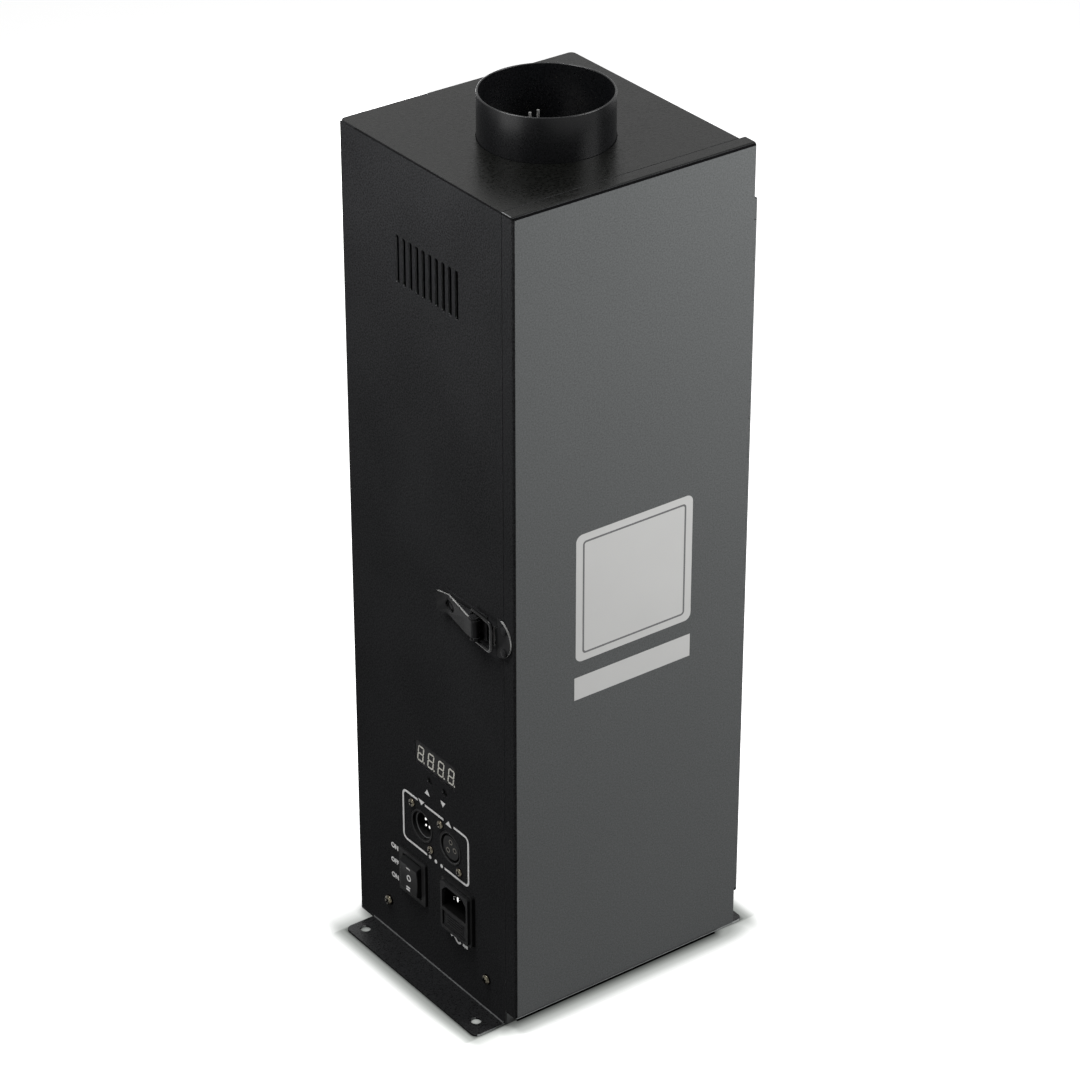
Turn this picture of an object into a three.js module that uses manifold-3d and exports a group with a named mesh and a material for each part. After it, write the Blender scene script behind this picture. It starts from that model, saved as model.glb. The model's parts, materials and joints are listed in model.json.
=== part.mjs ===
// Stage flame machine: an upright square sheet-metal tower that stands a gas can behind a hinged door
// and fires it through a round collar in its top plate.
// Millimetres, +Z up. The origin is at the centre of the underside of the base plate,
// the door faces -Y, the control side faces -X and the door's hinge is on the +X side.
import * as THREE from "three";
import { mergeVertices } from "three/addons/utils/BufferGeometryUtils.js";
import Module from "manifold-3d";

const wasm = await Module();
wasm.setup();

// Casing
const casingWidth = 162;
const overallDepth = 163.5;
const overallHeight = 536;
const sheet = 1.2;
const seam = 0.35;
const fitGap = 0.3;
const cutOverrun = 2;

// Base plate with its side flanges and screw tabs
const baseSheet = 1.5;
const flangeReach = 21.5;
const baseFrontInset = 1.5;
const baseBackInset = 13.7;
const flangeCorner = 4;
const flangeHoleRadius = 3.3;
const flangeHoleInset = 9.6;
const flangeHoleFrontInset = 12.15;
const flangeHoleBackInset = 8.3;
const tabWidth = 13;
const tabHeight = 33;
const sillHeight = 12;

// Base screws
const baseScrewHeight = 24.2;
const baseScrewFrontInset = 16.9;
const baseScrewBackInset = 18.55;
const baseScrewHeadRadius = 3.4;
const baseScrewHeadHeight = 2.2;
const baseScrewShankRadius = 1.8;
const baseScrewReach = 5;
const crossSlotWidth = 1;
const crossSlotDepth = 0.9;

// Door, a shallow pan open on its hinge side
const doorDepth = 10;
const doorLift = 11;
const doorOverhang = 4.1;
const doorBend = 1.9;

// Piano hinge
const barrelRadius = 2.25;
const barrelOffset = 1.9;
const leafGap = 0.2;
const leafThickness = 1;
const hingeFootInset = 25;
const hingeHeadInset = 35;
const knucklePitch = 12.56;
const knuckleGap = 0.4;
const hingePinRadius = 1.2;
const hingePinHead = 1.6;
const doorLeafWidth = 18;
const casingLeafWidth = 22;

// Collar
const collarRadius = 38.9;
const collarHeight = 27;
const collarX = -2;
const collarY = -5;
const collarWall = 1.2;
const collarSpigot = 6;
const collarFlangeReach = 6;
const topCornerRadius = 3;

// Vent slots in both side panels
const ventCount = 10;
const ventPitch = 6.3;
const ventWidth = 3.3;
const ventLength = 30.3;
const ventCentreU = 1;
const ventBelowTop = 66;

// Toggle latch
const latchHeight = 271;
const latchPlate = 1;
const latchToKeeper = 15.9;
const latchPivotOut = 5.6;
const latchPinRadius = 1.2;
const latchBaseTail = 35.5;
const latchBaseNose = 5.5;
const latchBaseWidth = 16;
const latchEarRadius = 2.9;
const leverWidth = 12.6;
const leverSheet = 1.1;
const leverReach = 38.5;
const leverTipLength = 8;
const leverBarrelRadius = 2.85;
const leverTongueInset = 3.7;
const leverTipFlare = 2.2;
const leverCheekRadius = 3.5;
const leverCheekLength = 24;
const leverSlotLength = 9.5;
const leverSlotWidth = 6.4;
const loopPivotBack = 5;
const loopPivotDrop = 1.8;
const loopWireRadius = 1.1;
const loopStub = 2.2;
const loopCorner = 4;
const loopSideGap = 0.7;
const latchRivetRadius = 2.6;
const latchRivetHeight = 1.1;
const latchRivetShank = 1.3;
const latchRivetFrontBack = 13;
const latchRivetTailInset = 8;

// Keeper on the door's left return
const keeperRadius = 12.5;
const keeperSheet = 1.2;
const keeperBehindFace = 14.35;
const keeperTongueLength = 3.4;
const keeperTongueWidth = 12;
const keeperLipRise = 2;
const keeperRivetBehindFace = 7.75;
const keeperRivetSpacing = 14.5;
const loopLift = 0.4;

// Display, buttons and control board, in heights above the row of connectors
const displayCentreU = 0.8;
const displayAboveButtons = 14.9;
const displayWindowWidth = 42;
const displayWindowHeight = 16.4;
const displayClearance = 0.4;
const displayRecess = 0.6;
const displayThickness = 7;
const boardThickness = 1.6;
const boardWidth = 64;
const boardHeight = 52;
const boardAboveButtons = 11;
const boardChipSize = 12;
const boardChipHeight = 2.2;
const buttonCentreU = 3;
const buttonSpacing = 15.5;
const buttonsAboveConnectors = 36.5;
const buttonHoleRadius = 2.6;
const buttonRadius = 1.9;
const buttonRecess = 0.4;
const buttonTravel = 0.5;
const tactBodySize = 6;
const tactBodyHeight = 3.4;

// Three-pin connectors, mounted from behind
const connectorCentreU = 1.45;
const connectorSpacing = 29.5;
const connectorHeight = 98.5;
const connectorRadius = 11;
const connectorBore = 9.5;
const connectorFlangeWidth = 26;
const connectorFlangeHeight = 31;
const connectorFlange = 1.6;
const connectorProud = 0.4;
const connectorCavity = 14;
const connectorBody = 21;
const connectorPinRadius = 1.2;
const connectorPinCircle = 4;
const connectorPinSetback = 4.8;
const connectorPinTail = 4;
const connectorCoreRadius = 8.2;
const connectorSocketRadius = 1.4;
const connectorScrewU = 9.5;
const connectorScrewV = 12;
const connectorScrewHeadRadius = 2.7;
const connectorScrewHeadHeight = 1.5;
const connectorScrewShank = 1.3;
const connectorScrewReach = 6;

// Three-position rocker switch
const rockerCentreU = -22.3;
const rockerBelowConnectors = 41.4;
const rockerBezelWidth = 28;
const rockerBezelHeight = 31;
const rockerBezelProud = 1.8;
const rockerBezelCorner = 1.2;
const rockerOpeningWidth = 18.8;
const rockerOpeningHeight = 24.6;
const rockerBodyWidth = 23;
const rockerBodyHeight = 27;
const rockerBodyDepth = 22;
const rockerWell = 9;
const rockerPivotDepth = 2.4;
const rockerClearance = 0.4;
const rockerTipRise = 7.5;
const rockerMiddleRise = 6.65;
const rockerFoot = 4.2;
const tabTerminalWidth = 5;
const tabTerminalThickness = 0.8;
const tabTerminalLength = 7;

// Mains inlet with its fuse drawer
const inletCentreU = 25.4;
const inletBelowConnectors = 40;
const inletFlangeWidth = 31;
const inletFlangeHeight = 37;
const inletFlange = 2.8;
const inletCorner = 2;
const inletFrameWidth = 28;
const inletFrameHeight = 34;
const inletFrameProud = 4.6;
const inletBodyWidth = 27;
const inletBodyHeight = 33.4;
const inletBodyDepth = 20;
const inletCavityWidth = 24.4;
const inletCavityHeight = 16;
const inletCavityDepth = 15;
const inletCavityLift = 6.6;
const inletCavityChamfer = 4;
const inletPinWidth = 2;
const inletPinHeight = 4;
const inletPinSpacing = 7;
const inletEarthSetback = 3;
const inletLineSetback = 5.2;
const inletEarthLift = 2;
const inletLineDrop = 2;
const inletPinTail = 7;
const drawerWidth = 23.4;
const drawerHeight = 10.8;
const drawerDrop = 9.2;
const drawerDepth = 17;
const drawerFace = 2.4;
const drawerSetback = 0.6;
const drawerWall = 1.4;
const drawerGrip = 0.9;
const fuseRadius = 2.5;
const fuseLength = 19;
const fuseCapLength = 4;
const fuseCapLip = 0.25;

// Bays and shelves inside
const shelfAboveBoard = 6.8;
const coverBehindFace = 21.75;
const innerGap = 0.5;
const shelfLip = 10;

// Power supply on the base plate
const supplyWidth = 66;
const supplyDepth = 62;
const supplyBoard = 1.6;
const supplyStandoff = 5;
const supplyStandoffRadius = 3;
const supplyCentreX = 38;
const supplyCentreY = 20;
const transformerSize = 26;
const transformerHeight = 22;
const capacitorRadius = 7;
const capacitorHeight = 25;
const heatsinkThickness = 3;
const heatsinkHeight = 24;
const terminalWidth = 30;
const terminalDepth = 10;
const terminalHeight = 12;

// Ignition module and its leads
const moduleDepth = 50;
const moduleHeight = 60;
const moduleThickness = 25;
const moduleCentreY = 34;
const moduleBelowBracket = 148;
const moduleBossRadius = 5;
const moduleBossHeight = 6;
const moduleBossSpacing = 20;
const leadRadius = 1.8;
const leadSides = 8;
const leadSteps = 34;

// Electrodes, insulators and their bracket
const electrodeRadius = 0.8;
const electrodeTipAbove = 12;
const electrodeTipGap = 5.6;
const electrodeTipX = -4.4;
const electrodeTipY = 3.2;
const insulatorSpacing = 18;
const insulatorY = 14;
const insulatorRadius = 4;
const insulatorFlangeRadius = 6;
const insulatorFlange = 2.5;
const insulatorDown = 14;
const insulatorUp = 20;
const bracketBelowTop = 28;
const electrodeBracketWidth = 38;
const electrodeBracketFront = 4;
const bracketLip = 12;

// Can clip
const clipRadius = 34;
const clipThickness = 1.5;
const clipHeight = 14;
const clipBottom = 330;
const clipMouthAngle = 50;
const clipStemWidth = 12;
const clipFootWidth = 34;

// Solenoid, press arm and nozzle
const actuatorBelowBracket = 38;
const actuatorWidth = 46;
const actuatorFront = -24;
const solenoidWidth = 26;
const solenoidHeight = 22;
const solenoidY = 46;
const solenoidFrame = 2;
const plungerRadius = 3;
const plungerClearance = 0.4;
const plungerCapRadius = 6;
const plungerCapHeight = 3;
const plungerTravel = 5;
const armWidth = 15;
const armThickness = 4;
const armDrop = 6;
const nozzleRadius = 4;
const nozzleBore = 1.5;
const nozzleBelowArm = 14;
const nozzleTopAbove = 28;
const nozzleShoulderRadius = 6.5;
const nozzleShoulderHeight = 5;
const nozzleTipLength = 8;
const nozzleTipRadius = 2.4;
const nozzleHoleClearance = 1.2;

// Facets, and the distance within which two corners of a shape are the same corner
const weldDistance = 0.0001;
const fineFacets = 48;
const roundFacets = 24;
const smallFacets = 12;
const tinyFacets = 8;

// Places worked out from the sizes
const halfWidth = casingWidth / 2;
const doorFaceY = -overallDepth / 2;
const backY = overallDepth / 2;
const casingFrontY = doorFaceY + doorDepth + seam;
const baseFrontY = casingFrontY + baseFrontInset;
const baseBackY = backY - baseBackInset;
const topUnder = overallHeight - sheet;
const panelTop = topUnder - fitGap;
const panelBottom = baseSheet + fitGap;
const innerHalfWidth = halfWidth - sheet;
const doorRightX = halfWidth + doorOverhang;
const ventCentreHeight = overallHeight - ventBelowTop;
const hingeBottom = doorLift + hingeFootInset;
const hingeRoom = overallHeight - hingeHeadInset - hingeBottom;
const knuckleCount = 2 * Math.floor((hingeRoom / knucklePitch - 1) / 2) + 1;
const hingeLength = knuckleCount * knucklePitch;
const hingeTop = hingeBottom + hingeLength;
const hingeX = doorRightX + barrelOffset;
const hingeY = doorFaceY + sheet + leafGap + barrelRadius;
const buttonHeight = connectorHeight + buttonsAboveConnectors;
const displayCentreHeight = buttonHeight + displayAboveButtons;
const boardCentreHeight = buttonHeight + boardAboveButtons;
const rockerCentreHeight = connectorHeight - rockerBelowConnectors;
const inletCentreHeight = connectorHeight - inletBelowConnectors;
const shelfHeight = boardCentreHeight + boardHeight / 2 + shelfAboveBoard + sheet;
const coverY = doorFaceY + coverBehindFace;
const boardOut = -(displayRecess + displayThickness + fitGap);
const keeperCentreU = -doorFaceY - keeperBehindFace;
const keeperRivetU = -doorFaceY - keeperRivetBehindFace;
const latchPivotU = keeperCentreU - latchToKeeper;
const loopPivotU = latchPivotU - loopPivotBack;
const loopPivotOut = latchPivotOut - loopPivotDrop;
const latchEarInner = leverWidth / 2 + fitGap;
const latchEarOuter = latchEarInner + latchPlate;
const legV = latchEarOuter + loopSideGap + loopWireRadius;
const keeperTop = fitGap + keeperSheet;
const lipTop = keeperTop + keeperLipRise;
const lipU = keeperCentreU - keeperTongueLength;
const barU = lipU + keeperSheet + loopWireRadius + fitGap;
const barOut = lipTop + loopLift + loopWireRadius;
const electrodeTipHeight = overallHeight + electrodeTipAbove;
const electrodeBracketHeight = overallHeight - bracketBelowTop;
const actuatorHeight = electrodeBracketHeight - actuatorBelowBracket;
const rearInnerY = backY - sheet;

// Materials
const standard = (color, roughness, metalness) =>
  new THREE.MeshStandardMaterial({ color, roughness, metalness });
const blackPowderCoat = standard(0x232425, 0.55, 0.1);
const greyPowderCoat = standard(0x4a4b4d, 0.5, 0.1);
const blackSteel = standard(0x2a2a2b, 0.4, 0.6);
const zincSteel = standard(0xb9ab8c, 0.35, 0.9);
const brightSteel = standard(0xc4c6c8, 0.25, 0.95);
const brass = standard(0xc8a257, 0.35, 0.9);
const blackPlastic = standard(0x141415, 0.35, 0);
const greyPlastic = standard(0x3a3b3d, 0.5, 0);
const whiteCeramic = standard(0xe8e4da, 0.3, 0);
const boardGreen = standard(0x1c5a3a, 0.5, 0);
const redLead = standard(0x8c1d18, 0.45, 0);
const clearGlass = standard(0xd8dde0, 0.1, 0);

// A closed three.js geometry as a solid that can be cut and joined
function solidOf(geometry) {
  const bare = geometry.clone();
  bare.deleteAttribute("normal");
  bare.deleteAttribute("uv");
  const merged = mergeVertices(bare, weldDistance);
  const mesh = new wasm.Mesh({
    numProp: 3,
    vertProperties: new Float32Array(merged.attributes.position.array),
    triVerts: new Uint32Array(merged.index.array),
  });
  return new wasm.Manifold(mesh);
}

// A solid as a three.js geometry with flat faces
function geometryOf(solid) {
  const mesh = solid.getMesh();
  const indexed = new THREE.BufferGeometry();
  indexed.setAttribute("position", new THREE.BufferAttribute(mesh.vertProperties, mesh.numProp));
  indexed.setIndex(new THREE.BufferAttribute(mesh.triVerts, 1));
  const flat = indexed.toNonIndexed();
  flat.computeVertexNormals();
  return flat;
}

const join = (first, ...rest) => rest.reduce((sum, next) => sum.add(next), first);
const cut = (first, ...rest) => rest.reduce((left, next) => left.subtract(next), first);

// A box between two corners
function block(x0, x1, y0, y1, z0, z1) {
  const box = new THREE.BoxGeometry(x1 - x0, y1 - y0, z1 - z0);
  box.translate((x0 + x1) / 2, (y0 + y1) / 2, (z0 + z1) / 2);
  return solidOf(box);
}

// An outline in the XY plane, extruded along Z between two heights
function prism(shape, z0, z1, curveSegments = tinyFacets) {
  const body = new THREE.ExtrudeGeometry(shape, { depth: z1 - z0, bevelEnabled: false, curveSegments });
  body.translate(0, 0, z0);
  return solidOf(body);
}

// A round bar along Z
function disc(radius, x, y, z0, z1, facets = roundFacets, topRadius = radius) {
  const bar = new THREE.CylinderGeometry(topRadius, radius, z1 - z0, facets);
  bar.rotateX(Math.PI / 2);
  bar.translate(x, y, (z0 + z1) / 2);
  return solidOf(bar);
}

// A round bar along X
function barAcross(radius, x0, x1, y, z) {
  const bar = new THREE.CylinderGeometry(radius, radius, x1 - x0, smallFacets);
  bar.rotateZ(Math.PI / 2);
  bar.translate((x0 + x1) / 2, y, z);
  return solidOf(bar);
}

// A closed profile of [radius, height] pairs turned about Z
function turned(profile, facets) {
  const points = profile.map(([radius, height]) => new THREE.Vector2(radius, height));
  points.push(points[0].clone());
  const ring = new THREE.LatheGeometry(points, facets);
  ring.rotateX(Math.PI / 2);
  return solidOf(ring);
}

// An outline through [x, y] pairs
function outline(points) {
  return new THREE.Shape(points.map(([x, y]) => new THREE.Vector2(x, y)));
}

// A rectangle with rounded corners, centred on a point
function roundedRectangle(width, height, radius, x = 0, y = 0) {
  const left = x - width / 2;
  const right = x + width / 2;
  const low = y - height / 2;
  const high = y + height / 2;
  const shape = new THREE.Shape();
  shape.moveTo(left + radius, low);
  shape.lineTo(right - radius, low);
  shape.absarc(right - radius, low + radius, radius, -Math.PI / 2, 0);
  shape.lineTo(right, high - radius);
  shape.absarc(right - radius, high - radius, radius, 0, Math.PI / 2);
  shape.lineTo(left + radius, high);
  shape.absarc(left + radius, high - radius, radius, Math.PI / 2, Math.PI);
  shape.lineTo(left, low + radius);
  shape.absarc(left + radius, low + radius, radius, Math.PI, 1.5 * Math.PI);
  return shape;
}

// A slot with round ends, standing along y
function roundEndedSlot(width, length, x, y) {
  const reach = (length - width) / 2;
  const shape = new THREE.Shape();
  shape.absarc(x, y + reach, width / 2, 0, Math.PI);
  shape.absarc(x, y - reach, width / 2, Math.PI, 2 * Math.PI);
  return shape;
}

// A round wire or tube along a curve
function wire(curve, radius, sides, steps) {
  const section = new THREE.Shape();
  section.absarc(0, 0, radius, 0, 2 * Math.PI);
  const body = new THREE.ExtrudeGeometry(section, {
    steps,
    curveSegments: sides,
    extrudePath: curve,
    bevelEnabled: false,
  });
  return solidOf(body);
}

// Straight runs through corner points, with each inner corner rounded to its own radius
function roundedPath(points, radii) {
  const path = new THREE.CurvePath();
  let start = points[0];
  for (let i = 1; i < points.length - 1; i++) {
    const corner = points[i];
    const before = corner.clone().add(start.clone().sub(corner).setLength(radii[i - 1]));
    const after = corner.clone().add(points[i + 1].clone().sub(corner).setLength(radii[i - 1]));
    path.add(new THREE.LineCurve3(start, before));
    path.add(new THREE.QuadraticBezierCurve3(before, corner, after));
    start = after;
  }
  path.add(new THREE.LineCurve3(start, points[points.length - 1]));
  return path;
}

// Groups: the machine stands in its own frame, and each side has a frame that faces outwards,
// with x to the right as seen from outside, y up and z out of the face
const machine = new THREE.Group();

function faceFrame(right, up, out, origin) {
  const frame = new THREE.Group();
  frame.quaternion.setFromRotationMatrix(new THREE.Matrix4().makeBasis(right, up, out));
  frame.position.copy(origin);
  machine.add(frame);
  return frame;
}

const axisX = new THREE.Vector3(1, 0, 0);
const axisY = new THREE.Vector3(0, 1, 0);
const axisZ = new THREE.Vector3(0, 0, 1);
const controlSide = faceFrame(axisY.clone().negate(), axisZ, axisX.clone().negate(),
  new THREE.Vector3(-halfWidth, 0, 0));
const hingeSide = faceFrame(axisY, axisZ, axisX, new THREE.Vector3(halfWidth, 0, 0));

function piece(parent, name, solid, material, x = 0, y = 0, z = 0) {
  const mesh = new THREE.Mesh(geometryOf(solid), material);
  mesh.name = name;
  mesh.position.set(x, y, z);
  parent.add(mesh);
  return mesh;
}

// A pan-head screw along Z: its head stands on z = 0 and its shank goes down
function panScrew(headRadius, headHeight, shankRadius, reach) {
  const dome = turned([
    [0, -reach],
    [shankRadius, -reach],
    [shankRadius, 0],
    [headRadius, 0],
    [headRadius, headHeight / 2],
    [headRadius * 0.8, headHeight * 0.9],
    [0, headHeight],
  ], smallFacets);
  const slotHalf = crossSlotWidth / 2;
  const slotEnd = headRadius * 0.6;
  const slotFloor = headHeight - crossSlotDepth;
  const slotTop = headHeight + cutOverrun;
  return cut(dome,
    block(-slotHalf, slotHalf, -slotEnd, slotEnd, slotFloor, slotTop),
    block(-slotEnd, slotEnd, -slotHalf, slotHalf, slotFloor, slotTop));
}

// A domed rivet along Z: its head stands on z = 0 and its shank goes down
function rivet(headRadius, headHeight, shankRadius, reach) {
  return turned([
    [0, -reach],
    [shankRadius, -reach],
    [shankRadius, 0],
    [headRadius, 0],
    [headRadius * 0.85, headHeight * 0.6],
    [headRadius * 0.5, headHeight * 0.95],
    [0, headHeight],
  ], smallFacets);
}

// Base plate
const baseScrewPlaces = [baseFrontY + baseScrewFrontInset, baseBackY - baseScrewBackInset];
const flangeHolePlaces = [baseFrontY + flangeHoleFrontInset, baseBackY - flangeHoleBackInset];

function basePlate() {
  const width = casingWidth + 2 * flangeReach;
  const flat = roundedRectangle(width, baseBackY - baseFrontY, flangeCorner,
    0, (baseFrontY + baseBackY) / 2);
  const tabOuter = innerHalfWidth - fitGap;
  const sill = block(-tabOuter, tabOuter, baseFrontY, baseFrontY + baseSheet, 0, sillHeight);
  let plate = join(prism(flat, 0, baseSheet), block(-halfWidth, halfWidth, 0, backY, 0, baseSheet), sill);
  for (const side of [-1, 1]) {
    for (const y of flangeHolePlaces) {
      const x = side * (width / 2 - flangeHoleInset);
      plate = cut(plate, disc(flangeHoleRadius, x, y, -cutOverrun, baseSheet + cutOverrun));
    }
    for (const y of baseScrewPlaces) {
      const inner = side * (tabOuter - baseSheet);
      const outer = side * tabOuter;
      const tab = block(Math.min(inner, outer), Math.max(inner, outer),
        y - tabWidth / 2, y + tabWidth / 2, 0, tabHeight);
      const bore = barAcross(baseScrewShankRadius + fitGap, Math.min(inner, outer) - cutOverrun,
        Math.max(inner, outer) + cutOverrun, y, baseScrewHeight);
      plate = cut(join(plate, tab), bore);
    }
  }
  return plate;
}
piece(machine, "base_plate", basePlate(), blackPowderCoat);

// Side panels, drawn in the frame of their face with the outer face at z = 0
function ventCuts(centreU) {
  const first = centreU - ((ventCount - 1) * ventPitch) / 2;
  return Array.from({ length: ventCount }, (_, i) => prism(
    roundEndedSlot(ventWidth, ventLength, first + i * ventPitch, ventCentreHeight),
    -sheet - cutOverrun, cutOverrun, smallFacets / 4));
}

function sidePanel(frontU, backU, ventU, screwPlaces) {
  const panel = block(Math.min(frontU, backU), Math.max(frontU, backU), panelBottom, panelTop, -sheet, 0);
  const screwHoles = screwPlaces.map((u) => disc(baseScrewShankRadius + fitGap, u, baseScrewHeight,
    -sheet - cutOverrun, cutOverrun, smallFacets));
  return cut(panel, ...ventCuts(ventU), ...screwHoles);
}

const connectorPlaces = [-1, 1].map((side) => connectorCentreU + (side * connectorSpacing) / 2);
const connectorScrewPlaces = connectorPlaces.flatMap((u) => [
  [u - connectorScrewU, connectorHeight + connectorScrewV],
  [u + connectorScrewU, connectorHeight - connectorScrewV],
]);
const buttonPlaces = [-1, 1].map((side) => buttonCentreU + (side * buttonSpacing) / 2);
const latchRivetPlaces = [
  latchPivotU - latchRivetFrontBack,
  latchPivotU - latchBaseTail + latchRivetTailInset,
];

function controlCuts() {
  const under = -sheet - cutOverrun;
  const over = cutOverrun;
  const windowCut = (width, height, u, v) => block(u - width / 2, u + width / 2, v - height / 2,
    v + height / 2, under, over);
  return [
    windowCut(displayWindowWidth, displayWindowHeight, displayCentreU, displayCentreHeight),
    windowCut(rockerBodyWidth + 2 * fitGap, rockerBodyHeight + 2 * fitGap,
      rockerCentreU, rockerCentreHeight),
    windowCut(inletBodyWidth + 2 * fitGap, inletBodyHeight + 2 * fitGap, inletCentreU, inletCentreHeight),
    ...buttonPlaces.map((u) => disc(buttonHoleRadius, u, buttonHeight, under, over, smallFacets)),
    ...connectorPlaces.map((u) => disc(connectorRadius + fitGap, u, connectorHeight, under, over)),
    ...connectorScrewPlaces.map(([u, v]) =>
      disc(connectorScrewShank + fitGap, u, v, under, over, tinyFacets)),
    ...latchRivetPlaces.map((u) => disc(latchRivetShank + fitGap, u, latchHeight, under, over, tinyFacets)),
  ];
}

// On the control side u runs towards the door, on the hinge side away from it
const leftScrewPlaces = baseScrewPlaces.map((y) => -y);
piece(controlSide, "side_panel_left",
  cut(sidePanel(-backY, -casingFrontY, ventCentreU, leftScrewPlaces), ...controlCuts()), blackPowderCoat);
piece(hingeSide, "side_panel_right",
  sidePanel(backY, casingFrontY, -ventCentreU, baseScrewPlaces), blackPowderCoat);

// Base screws, numbered front then back on the control side and then on the hinge side
const baseScrew = () => panScrew(baseScrewHeadRadius, baseScrewHeadHeight, baseScrewShankRadius,
  sheet + fitGap + baseSheet + baseScrewReach);
leftScrewPlaces.forEach((u, i) =>
  piece(controlSide, `base_screw_${i + 1}`, baseScrew(), zincSteel, u, baseScrewHeight, leafGap));
baseScrewPlaces.forEach((u, i) =>
  piece(hingeSide, `base_screw_${i + 3}`, baseScrew(), zincSteel, u, baseScrewHeight, leafGap));

// Rear panel, between the side panels
piece(machine, "rear_panel",
  block(-innerHalfWidth + fitGap, innerHalfWidth - fitGap, rearInnerY, backY, panelBottom, panelTop),
  blackPowderCoat);

// Top plate, on the side panels, with the collar's hole
function topPlate() {
  const front = casingFrontY;
  const corner = topCornerRadius;
  const shape = new THREE.Shape();
  shape.moveTo(-halfWidth, front);
  shape.lineTo(halfWidth, front);
  shape.lineTo(halfWidth, backY - corner);
  shape.absarc(halfWidth - corner, backY - corner, corner, 0, Math.PI / 2);
  shape.lineTo(-halfWidth + corner, backY);
  shape.absarc(-halfWidth + corner, backY - corner, corner, Math.PI / 2, Math.PI);
  const hole = disc(collarRadius + fitGap, collarX, collarY, topUnder - cutOverrun,
    overallHeight + cutOverrun, fineFacets);
  return cut(prism(shape, topUnder, overallHeight, smallFacets / 4), hole);
}
piece(machine, "top_plate", topPlate(), blackPowderCoat);

// Collar, a thin tube with a flange welded under the top plate
const collarProfile = [
  [collarRadius - collarWall, topUnder - collarSpigot],
  [collarRadius, topUnder - collarSpigot],
  [collarRadius, topUnder - fitGap - sheet],
  [collarRadius + collarFlangeReach, topUnder - fitGap - sheet],
  [collarRadius + collarFlangeReach, topUnder - fitGap],
  [collarRadius, topUnder - fitGap],
  [collarRadius, overallHeight + collarHeight],
  [collarRadius - collarWall, overallHeight + collarHeight],
];
piece(machine, "collar", turned(collarProfile, fineFacets), blackPowderCoat, collarX, collarY);

// Shelf that the can stands on, with a lip at the door side, and the cover in front of the electrics
const bayHalfWidth = innerHalfWidth - innerGap;
piece(machine, "can_shelf", join(
  block(-bayHalfWidth, bayHalfWidth, coverY - sheet, rearInnerY - innerGap,
    shelfHeight - sheet, shelfHeight),
  block(-bayHalfWidth, bayHalfWidth, coverY - sheet, coverY, shelfHeight - sheet, shelfHeight + shelfLip)),
greyPowderCoat);
piece(machine, "lower_cover", block(-bayHalfWidth, bayHalfWidth, coverY - sheet, coverY,
  panelBottom, shelfHeight - sheet - fitGap), greyPowderCoat);

// Door: a pan with returns at the top, the left and the bottom, bent to an outer radius
function doorPan() {
  const rear = doorFaceY + doorDepth;
  const left = -halfWidth;
  const right = doorRightX;
  // The envelope of the pan, drawn in by an inset, with the front edges rounded
  const envelope = (inset, rearOver, rightOver) => {
    const radius = doorBend - inset;
    const face = doorFaceY + inset;
    const low = doorLift + inset;
    const high = overallHeight - inset;
    const side = new THREE.Shape();
    side.moveTo(rear + rearOver, low);
    side.lineTo(rear + rearOver, high);
    side.lineTo(face + radius, high);
    side.absarc(face + radius, high - radius, radius, Math.PI / 2, Math.PI);
    side.lineTo(face, low + radius);
    side.absarc(face + radius, low + radius, radius, Math.PI, 1.5 * Math.PI);
    const plan = new THREE.Shape();
    plan.moveTo(right + rightOver, face);
    plan.lineTo(right + rightOver, rear + rearOver);
    plan.lineTo(left + inset, rear + rearOver);
    plan.lineTo(left + inset, face + radius);
    plan.absarc(left + inset + radius, face + radius, radius, Math.PI, 1.5 * Math.PI);
    const along = new THREE.ExtrudeGeometry(side,
      { depth: right + rightOver - left, bevelEnabled: false, curveSegments: smallFacets / 4 });
    along.applyMatrix4(new THREE.Matrix4().makeBasis(axisY, axisZ, axisX));
    along.translate(left, 0, 0);
    return solidOf(along).intersect(prism(plan, 0, overallHeight + cutOverrun, smallFacets / 4));
  };
  const rivetHoles = [-1, 1].map((side) => barAcross(latchRivetShank + leafGap, left - cutOverrun,
    left + sheet + cutOverrun, -keeperRivetU, latchHeight + (side * keeperRivetSpacing) / 2));
  return cut(envelope(0, 0, 0), envelope(sheet, cutOverrun, cutOverrun), ...rivetHoles);
}
piece(machine, "door_panel", doorPan(), greyPowderCoat);

// Piano hinge: knuckles alternate between the leaves, with the casing's leaf at both ends
function knuckles(first) {
  const rings = [];
  for (let i = first; i < knuckleCount; i += 2) {
    const low = hingeBottom + i * knucklePitch + knuckleGap / 2;
    const high = hingeBottom + (i + 1) * knucklePitch - knuckleGap / 2;
    rings.push(disc(barrelRadius, hingeX, hingeY, low, high, smallFacets));
  }
  return rings;
}

// What the leaf must leave free for the other leaf's knuckles
function knuckleNotches(first) {
  const notches = [];
  const reach = barrelRadius + fitGap;
  for (let i = first; i < knuckleCount; i += 2) {
    const low = hingeBottom + i * knucklePitch - knuckleGap / 2;
    const high = hingeBottom + (i + 1) * knucklePitch + knuckleGap / 2;
    notches.push(disc(reach, hingeX, hingeY, low, high, smallFacets));
  }
  return notches;
}

const pinBore = () => disc(hingePinRadius + leafGap, hingeX, hingeY, hingeBottom - cutOverrun,
  hingeTop + cutOverrun, tinyFacets);

function casingLeaf() {
  const inner = halfWidth + leafGap;
  const outer = inner + leafThickness;
  const start = baseFrontY;
  const strip = outline([
    [inner, start],
    [hingeX - leafThickness, hingeY],
    [hingeX + leafThickness / 2, hingeY + leafThickness],
    [outer, start + leafThickness / 2],
    [outer, start + casingLeafWidth],
    [inner, start + casingLeafWidth],
  ]);
  return cut(join(prism(strip, hingeBottom, hingeTop), ...knuckles(0)), ...knuckleNotches(1), pinBore());
}

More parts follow.
